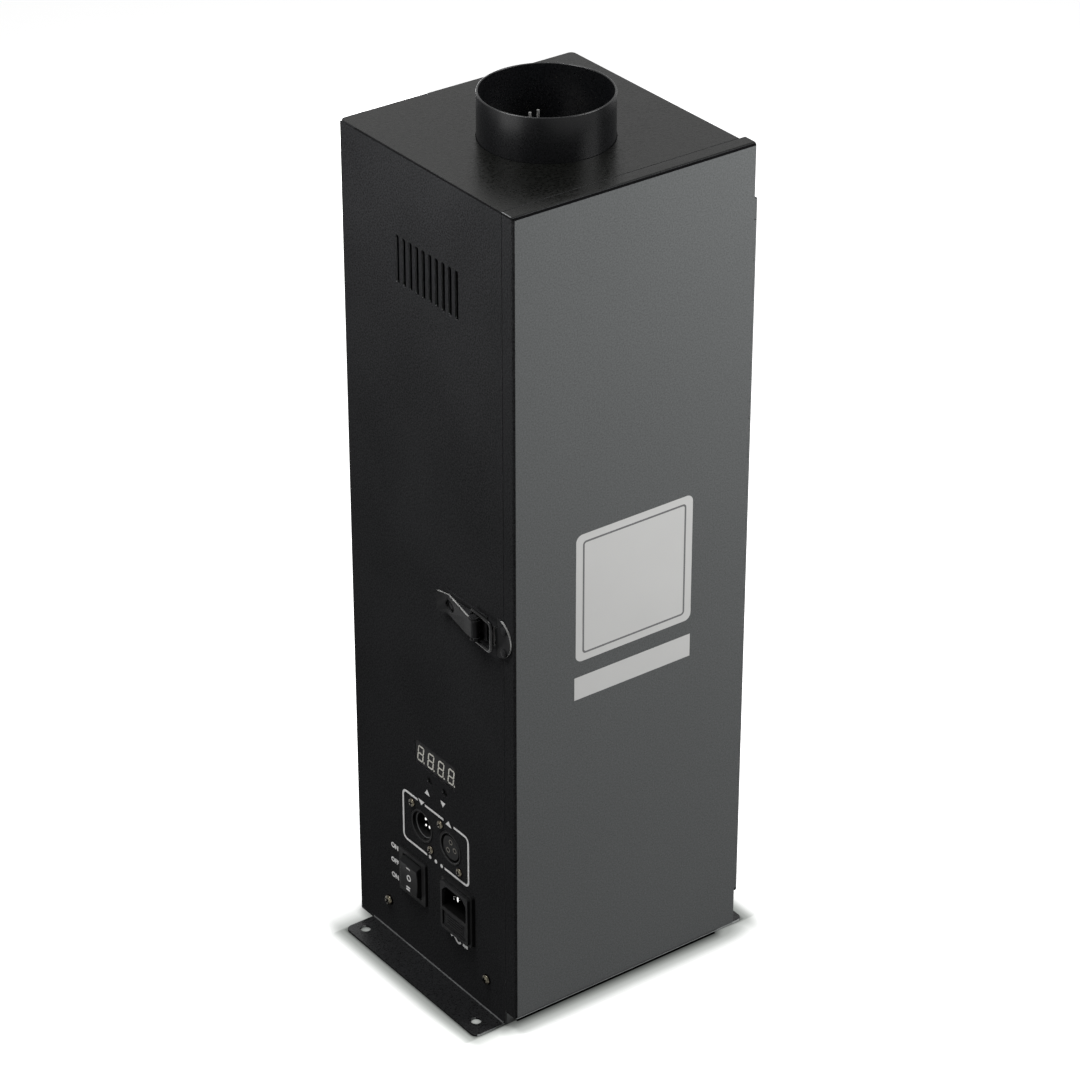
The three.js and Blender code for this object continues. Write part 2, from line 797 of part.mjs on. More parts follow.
function doorLeaf() {
  const face = hingeY - barrelRadius;
  const strip = block(hingeX - doorLeafWidth, hingeX, face, face + leafThickness,
    hingeBottom + knucklePitch + knuckleGap / 2, hingeTop - knucklePitch - knuckleGap / 2);
  return cut(join(strip, ...knuckles(1)), ...knuckleNotches(0), pinBore());
}

piece(machine, "hinge_leaf_casing", casingLeaf(), blackPowderCoat);
piece(machine, "hinge_leaf_door", doorLeaf(), blackPowderCoat);
piece(machine, "hinge_pin", join(
  disc(hingePinRadius, 0, 0, -hingePinHead, hingeLength + fitGap, tinyFacets),
  disc(barrelRadius, 0, 0, -hingePinHead, -fitGap, tinyFacets)),
blackSteel, hingeX, hingeY, hingeBottom);

// Latch pieces are drawn in the control side's frame, along the latch's centre line.
// A side outline has [u, out] pairs and is extruded across the latch.
function acrossLatch(shape, v0, v1) {
  const body = new THREE.ExtrudeGeometry(shape,
    { depth: v1 - v0, bevelEnabled: false, curveSegments: tinyFacets });
  body.applyMatrix4(new THREE.Matrix4().makeBasis(axisX, axisZ, axisY.clone().negate()));
  body.translate(0, v1, 0);
  return solidOf(body);
}

function roundBar(u, out, radius, v0, v1, facets = smallFacets) {
  const bar = new THREE.CylinderGeometry(radius, radius, v1 - v0, facets);
  bar.translate(u, (v0 + v1) / 2, out);
  return solidOf(bar);
}

function latchBase() {
  const low = leafGap;
  const high = leafGap + latchPlate;
  const plate = prism(roundedRectangle(latchBaseTail + latchBaseNose, latchBaseWidth, leverSheet,
    latchPivotU + (latchBaseNose - latchBaseTail) / 2, 0), low, high);
  const ear = new THREE.Shape();
  ear.moveTo(latchPivotU - latchEarRadius, low);
  ear.lineTo(latchPivotU + latchEarRadius, low);
  ear.lineTo(latchPivotU + latchEarRadius, latchPivotOut);
  ear.absarc(latchPivotU, latchPivotOut, latchEarRadius, 0, Math.PI);
  const ears = [
    acrossLatch(ear, latchEarInner, latchEarOuter),
    acrossLatch(ear, -latchEarOuter, -latchEarInner),
  ];
  const pinHole = roundBar(latchPivotU, latchPivotOut, latchPinRadius + leafGap, -leverWidth, leverWidth);
  const rivetHoles = latchRivetPlaces.map((u) => disc(latchRivetShank + leafGap, u, 0,
    -cutOverrun, high + cutOverrun, tinyFacets));
  return cut(join(plate, ...ears), pinHole, ...rivetHoles);
}

function latchLever() {
  const bendU = latchPivotU - leverReach + leverTipLength;
  const tipU = latchPivotU - leverReach;
  const bendOut = leafGap + latchPlate + fitGap + leverSheet;
  const crownOut = latchPivotOut + leverBarrelRadius;
  const topAt = (u) => bendOut + ((crownOut - bendOut) * (u - bendU)) / (latchPivotU - bendU);
  const noseU = latchPivotU - leverTongueInset;
  const plate = outline([
    [noseU, topAt(noseU)],
    [noseU, topAt(noseU) - leverSheet],
    [bendU, bendOut - leverSheet],
    [tipU, bendOut - leverSheet + leverTipFlare],
    [tipU, bendOut + leverTipFlare],
    [bendU, bendOut],
  ]);
  const tongue = outline([
    [latchPivotU, crownOut],
    [latchPivotU, latchPivotOut],
    [noseU - leverSheet, topAt(noseU - leverSheet) - leverSheet],
    [noseU - leverSheet, topAt(noseU - leverSheet)],
  ]);
  const half = leverWidth / 2;
  const tongueHalf = half - leverSheet / 2;
  const barrel = roundBar(latchPivotU, latchPivotOut, leverBarrelRadius, -tongueHalf, tongueHalf);
  const cheekEnd = latchPivotU - leverCheekLength;
  const cheek = new THREE.Shape();
  cheek.moveTo(noseU, topAt(noseU) - leverSheet / 2);
  cheek.lineTo(cheekEnd, topAt(cheekEnd) - leverSheet / 2);
  cheek.lineTo(cheekEnd, bendOut);
  cheek.lineTo(latchPivotU, latchPivotOut - leverCheekRadius);
  cheek.absarc(latchPivotU, latchPivotOut, leverCheekRadius, -Math.PI / 2, Math.PI / 4);
  const cheeks = [acrossLatch(cheek, half - leverSheet, half), acrossLatch(cheek, -half, leverSheet - half)];
  const pinHole = roundBar(latchPivotU, latchPivotOut, latchPinRadius + leafGap, -leverWidth, leverWidth);
  const loopHole = roundBar(loopPivotU, loopPivotOut, loopWireRadius + fitGap, -leverWidth, leverWidth);
  const slot = prism(roundedRectangle(leverSlotLength, leverSlotWidth, leverSlotWidth / 2 - leafGap,
    latchRivetPlaces[1], 0), 0, crownOut + cutOverrun);
  const solid = join(acrossLatch(plate, -half, half), acrossLatch(tongue, -tongueHalf, tongueHalf), barrel,
    ...cheeks);
  return cut(solid, pinHole, loopHole, slot);
}

function latchLoop() {
  const at = (u, v, out) => new THREE.Vector3(u, v, out);
  const stubEnd = leverWidth / 2 - loopStub;
  const stubCorner = loopWireRadius + fitGap;
  const path = roundedPath([
    at(loopPivotU, stubEnd, loopPivotOut),
    at(loopPivotU, legV, loopPivotOut),
    at(barU, legV, barOut),
    at(barU, -legV, barOut),
    at(loopPivotU, -legV, loopPivotOut),
    at(loopPivotU, -stubEnd, loopPivotOut),
  ], [stubCorner, loopCorner, loopCorner, stubCorner]);
  return wire(path, loopWireRadius, leadSides / 2, leadSteps + leadSides);
}

piece(controlSide, "latch_base", latchBase(), blackSteel, 0, latchHeight);
piece(controlSide, "latch_lever", latchLever(), blackSteel, 0, latchHeight);
const latchPinHalf = latchEarOuter + leafGap;
piece(controlSide, "latch_pin", roundBar(0, 0, latchPinRadius, -latchPinHalf, latchPinHalf, tinyFacets),
  blackSteel, latchPivotU, latchHeight, latchPivotOut);
piece(controlSide, "latch_loop", latchLoop(), blackSteel, 0, latchHeight);
latchRivetPlaces.forEach((u, i) => piece(controlSide, `latch_rivet_${i + 1}`,
  rivet(latchRivetRadius, latchRivetHeight, latchRivetShank, latchPlate + sheet + 2 * fitGap + leafGap),
  blackSteel, u, latchHeight, 2 * leafGap + latchPlate));

// Keeper: a half-round plate on the door's return, with a tongue and a lip that the loop catches
function latchKeeper() {
  const plate = new THREE.Shape();
  plate.moveTo(keeperCentreU, -keeperRadius);
  plate.absarc(keeperCentreU, 0, keeperRadius, -Math.PI / 2, Math.PI / 2);
  const tongue = block(lipU, keeperCentreU + keeperSheet, -keeperTongueWidth / 2, keeperTongueWidth / 2,
    fitGap, keeperTop);
  const lip = block(lipU, lipU + keeperSheet, -keeperTongueWidth / 2, keeperTongueWidth / 2, fitGap, lipTop);
  const holes = [-1, 1].map((side) => disc(latchRivetShank + leafGap, keeperRivetU,
    (side * keeperRivetSpacing) / 2, -cutOverrun, keeperTop + cutOverrun, tinyFacets));
  return cut(join(prism(plate, fitGap, keeperTop, smallFacets), tongue, lip), ...holes);
}
piece(controlSide, "latch_keeper", latchKeeper(), blackSteel, 0, latchHeight);
[-1, 1].forEach((side, i) => piece(controlSide, `keeper_rivet_${i + 1}`,
  rivet(latchRivetRadius, latchRivetHeight, latchRivetShank, keeperTop + leafGap + sheet + fitGap),
  blackSteel, keeperRivetU, latchHeight + (side * keeperRivetSpacing) / 2, keeperTop + leafGap));

// Display, control board and the two buttons
piece(controlSide, "display_module", block(
  -displayWindowWidth / 2 + displayClearance, displayWindowWidth / 2 - displayClearance,
  -displayWindowHeight / 2 + displayClearance, displayWindowHeight / 2 - displayClearance,
  -displayRecess - displayThickness, -displayRecess),
blackPlastic, displayCentreU, displayCentreHeight);

function controlBoard() {
  const bottom = boardOut - boardThickness;
  const card = block(displayCentreU - boardWidth / 2, displayCentreU + boardWidth / 2,
    boardCentreHeight - boardHeight / 2, boardCentreHeight + boardHeight / 2, bottom, boardOut);
  const tactBodies = buttonPlaces.map((u) => cut(
    block(u - tactBodySize / 2, u + tactBodySize / 2, buttonHeight - tactBodySize / 2,
      buttonHeight + tactBodySize / 2, boardOut - boardThickness / 2, boardOut + tactBodyHeight),
    disc(buttonRadius + fitGap, u, buttonHeight, boardOut + fitGap, boardOut + tactBodyHeight + cutOverrun,
      smallFacets)));
  const chip = block(displayCentreU - boardChipSize, displayCentreU + boardChipSize,
    boardCentreHeight - boardChipSize / 2, boardCentreHeight + boardChipSize / 2,
    bottom - boardChipHeight, bottom + boardThickness / 2);
  return join(card, ...tactBodies, chip);
}
piece(controlSide, "control_board", controlBoard(), boardGreen);

const buttonFoot = boardOut + fitGap + buttonTravel + leafGap;
["button_up", "button_down"].forEach((name, i) => piece(controlSide, name,
  disc(buttonRadius, 0, 0, buttonFoot, -buttonRecess, smallFacets), blackPlastic,
  buttonPlaces[i], buttonHeight));

// Connector shells, screws and pins
const connectorScrewCuts = () => [-1, 1].map((side) => disc(connectorScrewShank + leafGap,
  side * connectorScrewU, -side * connectorScrewV, -sheet - fitGap - connectorFlange - cutOverrun,
  cutOverrun, tinyFacets));

function connectorShell() {
  const flangeTop = -sheet - fitGap;
  const flange = block(-connectorFlangeWidth / 2, connectorFlangeWidth / 2, -connectorFlangeHeight / 2,
    connectorFlangeHeight / 2, flangeTop - connectorFlange, flangeTop);
  const barrel = disc(connectorRadius, 0, 0, -connectorBody, connectorProud);
  const cavity = disc(connectorBore, 0, 0, connectorProud - connectorCavity, connectorProud + cutOverrun);
  return cut(join(flange, barrel), cavity, ...connectorScrewCuts());
}

const pinPlaces = [90, 0, 225].map((angle) => [
  connectorPinCircle * Math.cos(THREE.MathUtils.degToRad(angle)),
  connectorPinCircle * Math.sin(THREE.MathUtils.degToRad(angle)),
]);
const pinTop = connectorProud - connectorPinSetback;
const pinBottom = -connectorBody - connectorPinTail;

piece(controlSide, "connector_in_shell", cut(connectorShell(), ...pinPlaces.map(([u, v]) =>
  disc(connectorPinRadius + leafGap, u, v, -connectorBody - cutOverrun, 0, tinyFacets))),
blackPlastic, connectorPlaces[0], connectorHeight);
pinPlaces.forEach(([u, v], i) => piece(controlSide, `connector_in_pin_${i + 1}`, join(
  disc(connectorPinRadius, u, v, pinBottom, pinTop - connectorPinRadius, tinyFacets),
  disc(connectorPinRadius, u, v, pinTop - connectorPinRadius, pinTop, tinyFacets, connectorPinRadius / 2)),
brightSteel, connectorPlaces[0], connectorHeight));

function socketShell() {
  const coreTop = -fitGap;
  const core = disc(connectorCoreRadius, 0, 0, -connectorBody, coreTop);
  const key = block(-connectorPinRadius, connectorPinRadius, connectorCoreRadius - connectorPinRadius,
    connectorBore + fitGap, connectorProud - connectorCavity - fitGap, -connectorProud - connectorPinRadius);
  const sockets = pinPlaces.map(([u, v]) => disc(connectorSocketRadius, u, v,
    connectorProud - connectorCavity, cutOverrun, tinyFacets));
  return cut(join(connectorShell(), core, key), ...sockets, ...connectorScrewCuts());
}
piece(controlSide, "connector_out_shell", socketShell(), blackPlastic, connectorPlaces[1], connectorHeight);

connectorScrewPlaces.forEach(([u, v], i) => piece(controlSide, `connector_screw_${i + 1}`,
  panScrew(connectorScrewHeadRadius, connectorScrewHeadHeight, connectorScrewShank, connectorScrewReach),
  zincSteel, u, v, leafGap));

// Rocker switch: a housing with a bezel, and a rocker in its middle position. Its face is slightly hollow
// and its ends run on an arc about its pivot.
function rockerHousing() {
  const bezel = prism(roundedRectangle(rockerBezelWidth, rockerBezelHeight, rockerBezelCorner),
    leafGap, rockerBezelProud);
  const body = block(-rockerBodyWidth / 2, rockerBodyWidth / 2, -rockerBodyHeight / 2, rockerBodyHeight / 2,
    -rockerBodyDepth, rockerBezelProud / 2);
  const well = block(-rockerOpeningWidth / 2, rockerOpeningWidth / 2, -rockerOpeningHeight / 2,
    rockerOpeningHeight / 2, -rockerWell, rockerBezelProud + cutOverrun);
  const terminals = [-1, 0, 1].map((row) => block(
    -tabTerminalWidth / 2, tabTerminalWidth / 2,
    row * tabTerminalWidth * 1.5 - tabTerminalThickness / 2,
    row * tabTerminalWidth * 1.5 + tabTerminalThickness / 2,
    -rockerBodyDepth - tabTerminalLength, -rockerBodyDepth + tabTerminalThickness));
  return join(cut(join(bezel, body), well), ...terminals);
}
piece(controlSide, "rocker_housing", rockerHousing(), blackPlastic, rockerCentreU, rockerCentreHeight);

function rocker() {
  const radius = rockerOpeningHeight / 2 - rockerClearance;
  const half = rockerOpeningWidth / 2 - rockerClearance;
  const tipV = Math.sqrt(radius ** 2 - rockerTipRise ** 2);
  const footV = Math.sqrt(radius ** 2 - rockerFoot ** 2);
  const side = new THREE.Shape();
  side.moveTo(-footV, -rockerFoot);
  side.lineTo(footV, -rockerFoot);
  side.absarc(0, 0, radius, Math.atan2(-rockerFoot, footV), Math.atan2(rockerTipRise, tipV));
  side.quadraticCurveTo(0, 2 * rockerMiddleRise - rockerTipRise, -tipV, rockerTipRise);
  side.absarc(0, 0, radius, Math.atan2(rockerTipRise, -tipV),
    Math.atan2(-rockerFoot, -footV) + 2 * Math.PI);
  const body = new THREE.ExtrudeGeometry(side,
    { depth: 2 * half, bevelEnabled: false, curveSegments: tinyFacets });
  body.translate(0, 0, -half);
  body.applyMatrix4(new THREE.Matrix4().makeBasis(axisY, axisZ, axisX));
  return solidOf(body);
}
piece(controlSide, "rocker", rocker(), blackPlastic, rockerCentreU, rockerCentreHeight, -rockerPivotDepth);

// Mains inlet: flange, raised frame and body, with the plug's cavity above the fuse drawer's slot
function cavityOutline(width, height) {
  const chamfer = inletCavityChamfer;
  return outline([
    [-width / 2, -height / 2],
    [width / 2, -height / 2],
    [width / 2, height / 2 - chamfer],
    [width / 2 - chamfer, height / 2],
    [chamfer - width / 2, height / 2],
    [-width / 2, height / 2 - chamfer],
  ]);
}

const inletFloor = inletFrameProud - inletCavityDepth;
const contactPlaces = [
  ["inlet_pin_earth", 0, inletCavityLift + inletEarthLift, inletEarthSetback],
  ["inlet_pin_live", -inletPinSpacing, inletCavityLift - inletLineDrop, inletLineSetback],
  ["inlet_pin_neutral", inletPinSpacing, inletCavityLift - inletLineDrop, inletLineSetback],
];

function inletHousing() {
  const flange = prism(roundedRectangle(inletFlangeWidth, inletFlangeHeight, inletCorner),
    leafGap, inletFlange);
  const frame = prism(roundedRectangle(inletFrameWidth, inletFrameHeight, inletCorner),
    leafGap, inletFrameProud);
  const body = block(-inletBodyWidth / 2, inletBodyWidth / 2, -inletBodyHeight / 2, inletBodyHeight / 2,
    -inletBodyDepth, inletFlange / 2);
  const cavity = prism(cavityOutline(inletCavityWidth, inletCavityHeight), inletFloor,
    inletFrameProud + cutOverrun);
  const lifted = cavity.translate([0, inletCavityLift, 0]);
  const slotHalfWidth = drawerWidth / 2 + fitGap;
  const slotHalfHeight = drawerHeight / 2 + fitGap;
  const slot = block(-slotHalfWidth, slotHalfWidth,
    -drawerDrop - slotHalfHeight, -drawerDrop + slotHalfHeight,
    inletFrameProud - drawerSetback - drawerDepth - fitGap, inletFrameProud + cutOverrun);
  const pinSlots = contactPlaces.map(([, u, v]) => block(
    u - inletPinWidth / 2 - leafGap, u + inletPinWidth / 2 + leafGap,
    v - inletPinHeight / 2 - leafGap, v + inletPinHeight / 2 + leafGap,
    -inletBodyDepth - cutOverrun, inletFloor + cutOverrun));
  return cut(join(flange, frame, body), lifted, slot, ...pinSlots);
}
piece(controlSide, "inlet_housing", inletHousing(), blackPlastic, inletCentreU, inletCentreHeight);
for (const [name, u, v, setback] of contactPlaces) {
  const contact = block(-inletPinWidth / 2, inletPinWidth / 2, -inletPinHeight / 2, inletPinHeight / 2,
    -inletBodyDepth - inletPinTail, inletFrameProud - setback);
  piece(controlSide, name, contact, brightSteel, inletCentreU + u, inletCentreHeight + v);
}

// Fuse drawer, an open tray behind its face, and the fuse that lies across it
function fuseDrawer() {
  const halfU = drawerWidth / 2;
  const halfV = drawerHeight / 2;
  const face = inletFrameProud - drawerSetback;
  const whole = block(-halfU, halfU, -halfV, halfV, face - drawerDepth, face);
  const tray = block(-halfU + drawerWall, halfU - drawerWall, -halfV + drawerWall, halfV + cutOverrun,
    face - drawerDepth + drawerWall, face - drawerFace);
  const grips = [-1, 0, 1].map((row) => block(-halfU / 2, halfU / 2,
    row * drawerGrip * 2 - drawerGrip / 2, row * drawerGrip * 2 + drawerGrip / 2,
    face - drawerGrip / 2, face + cutOverrun));
  return cut(whole, tray, ...grips);
}
piece(controlSide, "fuse_drawer", fuseDrawer(), blackPlastic, inletCentreU, inletCentreHeight - drawerDrop);

function fuse() {
  const half = fuseLength / 2;
  const capped = fuseRadius + fuseCapLip;
  const body = turned([
    [0, -half],
    [capped, -half],
    [capped, fuseCapLength - half],
    [fuseRadius, fuseCapLength - half],
    [fuseRadius, half - fuseCapLength],
    [capped, half - fuseCapLength],
    [capped, half],
    [0, half],
  ], smallFacets);
  return body.rotate([0, 90, 0]);
}
piece(controlSide, "fuse", fuse(), clearGlass, inletCentreU,
  inletCentreHeight - drawerDrop - drawerHeight / 2 + drawerWall + fuseRadius + fuseCapLip + fitGap,
  inletFrameProud - drawerSetback - drawerFace - fuseRadius - fuseCapLip - fitGap);

// Power supply: a board on standoffs, with its transformer, capacitor, heat sink and terminal block
function powerSupply() {
  const halfX = supplyWidth / 2;
  const halfY = supplyDepth / 2;
  const boardTop = supplyStandoff + supplyBoard;
  const board = block(-halfX, halfX, -halfY, halfY, supplyStandoff, boardTop);
  const sunk = boardTop - supplyBoard / 2;
  const standoffs = [-1, 1].flatMap((i) => [-1, 1].map((j) => disc(supplyStandoffRadius,
    i * (halfX - 2 * supplyStandoffRadius), j * (halfY - 2 * supplyStandoffRadius), 0,
    supplyStandoff + supplyBoard / 2, tinyFacets)));
  const transformer = block(-transformerSize / 2, transformerSize / 2, -transformerSize / 2,
    transformerSize / 2, sunk, boardTop + transformerHeight);
  const capacitor = disc(capacitorRadius, -halfX + 2 * capacitorRadius, halfY / 2, sunk,
    boardTop + capacitorHeight, smallFacets);
  const heatsink = block(halfX - heatsinkThickness - terminalDepth, halfX - terminalDepth,
    -halfY + heatsinkThickness, halfY - heatsinkThickness, sunk, boardTop + heatsinkHeight);
  const terminals = block(-terminalWidth / 2, terminalWidth / 2, -halfY, -halfY + terminalDepth, sunk,
    boardTop + terminalHeight);
  return join(board, ...standoffs, transformer, capacitor, heatsink, terminals);
}
piece(machine, "power_supply", powerSupply(), boardGreen, supplyCentreX, supplyCentreY, baseSheet + leafGap);

// Ignition module on the inside of the hinge side, with two bosses for the leads
const moduleInnerX = innerHalfWidth - fitGap - moduleThickness;
const moduleMiddleX = moduleInnerX + moduleThickness / 2;
const moduleTop = electrodeBracketHeight - moduleBelowBracket;
const moduleBottom = moduleTop - moduleHeight;
const leadStartY = [-1, 1].map((side) => moduleCentreY + (side * moduleBossSpacing) / 2);
const ignitionCase = prism(roundedRectangle(moduleThickness, moduleDepth, moduleBossHeight / 2,
  moduleMiddleX, moduleCentreY), moduleBottom, moduleTop);
piece(machine, "ignition_module", join(ignitionCase, ...leadStartY.map((y) =>
  disc(moduleBossRadius, moduleMiddleX, y, moduleTop - moduleBossHeight, moduleTop + moduleBossHeight,
    smallFacets))), blackPlastic);

// Electrode bracket, insulators, electrodes and leads
const insulatorPlaces = [-1, 1].map((side) => electrodeTipX + (side * insulatorSpacing) / 2);
const bracketTop = electrodeBracketHeight + sheet;

function shelfBracket(width, front, height, holes) {
  const rear = rearInnerY - fitGap;
  const plate = block(collarX - width / 2, collarX + width / 2, front, rear, height, height + sheet);
  const lip = block(collarX - width / 2, collarX + width / 2, rear - sheet, rear,
    height - bracketLip, height + sheet);
  return cut(join(plate, lip), ...holes);
}
piece(machine, "electrode_bracket", shelfBracket(electrodeBracketWidth, electrodeBracketFront,
  electrodeBracketHeight, insulatorPlaces.map((x) => disc(insulatorRadius + fitGap, x, insulatorY,
    electrodeBracketHeight - cutOverrun, bracketTop + cutOverrun, smallFacets))), zincSteel);

const insulatorFoot = bracketTop + fitGap;
insulatorPlaces.forEach((x, i) => {
  const bore = electrodeRadius + leafGap;
  piece(machine, `insulator_${i + 1}`, turned([
    [bore, -insulatorDown],
    [insulatorRadius, -insulatorDown],
    [insulatorRadius, 0],
    [insulatorFlangeRadius, 0],
    [insulatorFlangeRadius, insulatorFlange],
    [insulatorRadius, insulatorFlange],
    [insulatorRadius * 0.7, insulatorUp],
    [bore, insulatorUp],
  ], smallFacets), whiteCeramic, x, insulatorY, insulatorFoot);
});

const insulatorTop = insulatorFoot + insulatorUp;
const insulatorBase = insulatorFoot - insulatorDown;
insulatorPlaces.forEach((x, i) => {
  const tipX = electrodeTipX + ((i === 0 ? -1 : 1) * electrodeTipGap) / 2;
  const rise = electrodeTipHeight - insulatorTop;
  const path = roundedPath([
    new THREE.Vector3(x, insulatorY, insulatorBase + fitGap),
    new THREE.Vector3(x, insulatorY, insulatorTop + rise / 5),
    new THREE.Vector3(tipX, electrodeTipY, electrodeTipHeight - rise / 4),
    new THREE.Vector3(tipX, electrodeTipY, electrodeTipHeight),
  ], [rise / 6, rise / 6]);
  piece(machine, `electrode_${i + 1}`, wire(path, electrodeRadius, leadSides / 4, leadSides * 2),
    brightSteel);
});

insulatorPlaces.forEach((x, i) => {
  const startY = leadStartY[1 - i];
  const start = moduleTop + moduleBossHeight + fitGap;
  const crossHeight = insulatorBase - 4 * leadRadius - (1 - i) * 3 * leadRadius;
  const crossY = insulatorY + (1 - i) * 3 * leadRadius;
  const path = roundedPath([
    new THREE.Vector3(moduleMiddleX, startY, start),
    new THREE.Vector3(moduleMiddleX, startY, crossHeight - moduleHeight),
    new THREE.Vector3(moduleMiddleX, crossY, crossHeight),
    new THREE.Vector3(x, insulatorY, crossHeight),
    new THREE.Vector3(x, insulatorY, insulatorBase - fitGap),
  ], Array(3).fill(3 * leadRadius));
  piece(machine, `ignition_lead_${i + 1}`, wire(path, leadRadius, leadSides / 4, leadSteps), redLead);
});

// Can clip: an open ring on a stem from the rear panel
function canClip() {
  const mouth = THREE.MathUtils.degToRad(clipMouthAngle);
  const start = -Math.PI / 2 + mouth;
  const end = 1.5 * Math.PI - mouth;
  const ring = new THREE.Shape();
  ring.absarc(0, 0, clipRadius + clipThickness, start, end);
  ring.absarc(0, 0, clipRadius, end, start, true);
  const footBack = rearInnerY - fitGap - collarY;
  const stem = block(-clipStemWidth / 2, clipStemWidth / 2, clipRadius + clipThickness / 2,
    footBack - clipThickness / 2, 0, clipHeight);
  const foot = block(-clipFootWidth / 2, clipFootWidth / 2, footBack - clipThickness, footBack,
    0, clipHeight);
  return join(prism(ring, 0, clipHeight, fineFacets / 2), stem, foot);
}
piece(machine, "can_clip", canClip(), zincSteel, collarX, collarY, clipBottom);

// Actuator bracket, solenoid, plunger with its press arm, and the nozzle over the can's valve
piece(machine, "actuator_bracket", shelfBracket(actuatorWidth, actuatorFront, actuatorHeight, [
  disc(nozzleRadius + nozzleHoleClearance, collarX, collarY, actuatorHeight - cutOverrun,
    actuatorHeight + sheet + cutOverrun, smallFacets),
  disc(plungerRadius + plungerClearance, collarX, solenoidY, actuatorHeight - cutOverrun,
    actuatorHeight + sheet + cutOverrun, smallFacets),
]), zincSteel);

function solenoidBody() {
  const half = solenoidWidth / 2;
  const frame = block(-half, half, -half, half, 0, solenoidHeight);
  const coilGap = solenoidFrame;
  const sides = [-1, 1].map((side) => block(
    Math.min(side * half, side * (half - coilGap)) - (side < 0 ? cutOverrun : 0),
    Math.max(side * half, side * (half - coilGap)) + (side > 0 ? cutOverrun : 0),
    -half - cutOverrun, half + cutOverrun, solenoidFrame, solenoidHeight - solenoidFrame));
  const bore = disc(plungerRadius + plungerClearance, 0, 0, -cutOverrun, solenoidHeight + cutOverrun,
    smallFacets);
  return cut(frame, ...sides, bore);
}
const solenoidBase = actuatorHeight + sheet + leafGap;
piece(machine, "solenoid_body", solenoidBody(), blackSteel, collarX, solenoidY, solenoidBase);

const armTop = actuatorHeight - armDrop;
const armBottom = armTop - armThickness;
const capBottom = solenoidBase + solenoidHeight + plungerTravel + fitGap;

function plungerAndArm() {
  const rod = disc(plungerRadius, 0, 0, armBottom, capBottom + plungerCapHeight / 2, smallFacets);
  const cap = disc(plungerCapRadius, 0, 0, capBottom, capBottom + plungerCapHeight, smallFacets);
  const reach = collarY - solenoidY;
  const arm = block(-armWidth / 2, armWidth / 2, reach - armWidth / 2, plungerRadius * 2, armBottom, armTop);
  const eye = disc(nozzleRadius + leafGap, 0, reach, armBottom - cutOverrun, armTop + cutOverrun,
    smallFacets);
  return cut(join(rod, cap, arm), eye);
}
piece(machine, "solenoid_plunger", plungerAndArm(), brightSteel, collarX, solenoidY);

const nozzleTop = actuatorHeight + nozzleTopAbove;
piece(machine, "nozzle", turned([
  [nozzleBore, armBottom - nozzleBelowArm],
  [nozzleRadius, armBottom - nozzleBelowArm],
  [nozzleRadius, armBottom - leafGap - nozzleShoulderHeight],
  [nozzleShoulderRadius, armBottom - leafGap - nozzleShoulderHeight],
  [nozzleShoulderRadius, armBottom - leafGap],
  [nozzleRadius, armBottom - leafGap],
  [nozzleRadius, nozzleTop - nozzleTipLength],
  [nozzleTipRadius, nozzleTop],
  [nozzleBore, nozzleTop],
], smallFacets), brass, collarX, collarY);

export default machine;
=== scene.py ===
"""Looks of the stage flame machine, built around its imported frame.

Pieces are drawn in millimetres in one of three frames. UPRIGHT is the machine's own frame.
CONTROL is the control side seen from outside, and DOOR is the door seen from outside: u to the
right, v up, w outwards, with w = 0 on the side panel's or the door's face.
"""
import json
import math

import bmesh
import bpy
from mathutils import Matrix, Vector


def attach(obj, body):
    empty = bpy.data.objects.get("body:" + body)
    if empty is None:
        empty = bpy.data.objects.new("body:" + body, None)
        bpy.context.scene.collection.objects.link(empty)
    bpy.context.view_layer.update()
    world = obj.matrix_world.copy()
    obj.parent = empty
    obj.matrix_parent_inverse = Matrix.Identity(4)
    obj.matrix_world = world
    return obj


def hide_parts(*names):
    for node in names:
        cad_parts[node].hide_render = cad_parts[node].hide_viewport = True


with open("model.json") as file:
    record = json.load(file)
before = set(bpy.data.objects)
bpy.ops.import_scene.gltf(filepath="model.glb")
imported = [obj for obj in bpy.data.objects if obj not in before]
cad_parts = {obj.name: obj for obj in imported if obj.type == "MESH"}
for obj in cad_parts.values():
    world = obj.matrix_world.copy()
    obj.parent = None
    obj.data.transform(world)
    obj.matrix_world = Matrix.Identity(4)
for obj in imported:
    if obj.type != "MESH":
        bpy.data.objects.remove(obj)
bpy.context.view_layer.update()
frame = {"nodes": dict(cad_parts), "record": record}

MM = 0.001
HALF_WIDTH = 81.0
DOOR_FACE = -81.75
UPRIGHT = Matrix.Scale(MM, 4)
CONTROL = Matrix((
    (0, 0, -MM, -HALF_WIDTH * MM),
    (-MM, 0, 0, 0),
    (0, MM, 0, 0),
    (0, 0, 0, 1),
))
DOOR = Matrix((
    (MM, 0, 0, 0),
    (0, 0, -MM, DOOR_FACE * MM),
    (0, MM, 0, 0),
    (0, 0, 0, 1),
))


# Camera

CAMERA_PLACE = Vector((-1.16917, -1.57942, 1.40252))
CAMERA_BACK = Vector((-0.5153, -0.6977, 0.4976))
CAMERA_LENS = 128.68

camera_data = bpy.data.cameras.new("camera")
camera_data.lens = CAMERA_LENS
camera_data.sensor_width = 36
camera_data.clip_end = 50
camera = bpy.data.objects.new("camera", camera_data)
camera.location = CAMERA_PLACE
camera.rotation_euler = CAMERA_BACK.to_track_quat("Z", "Y").to_euler()
bpy.context.collection.objects.link(camera)
bpy.context.scene.camera = camera
bpy.context.scene.view_settings.view_transform = "Standard"


# Materials

def grey(value):
    return (value, value, value, 1)


def new_material(name):
    material = bpy.data.materials.new(name)
    material.use_nodes = True
    nodes = material.node_tree.nodes
    nodes.clear()
    return material, nodes, material.node_tree.links


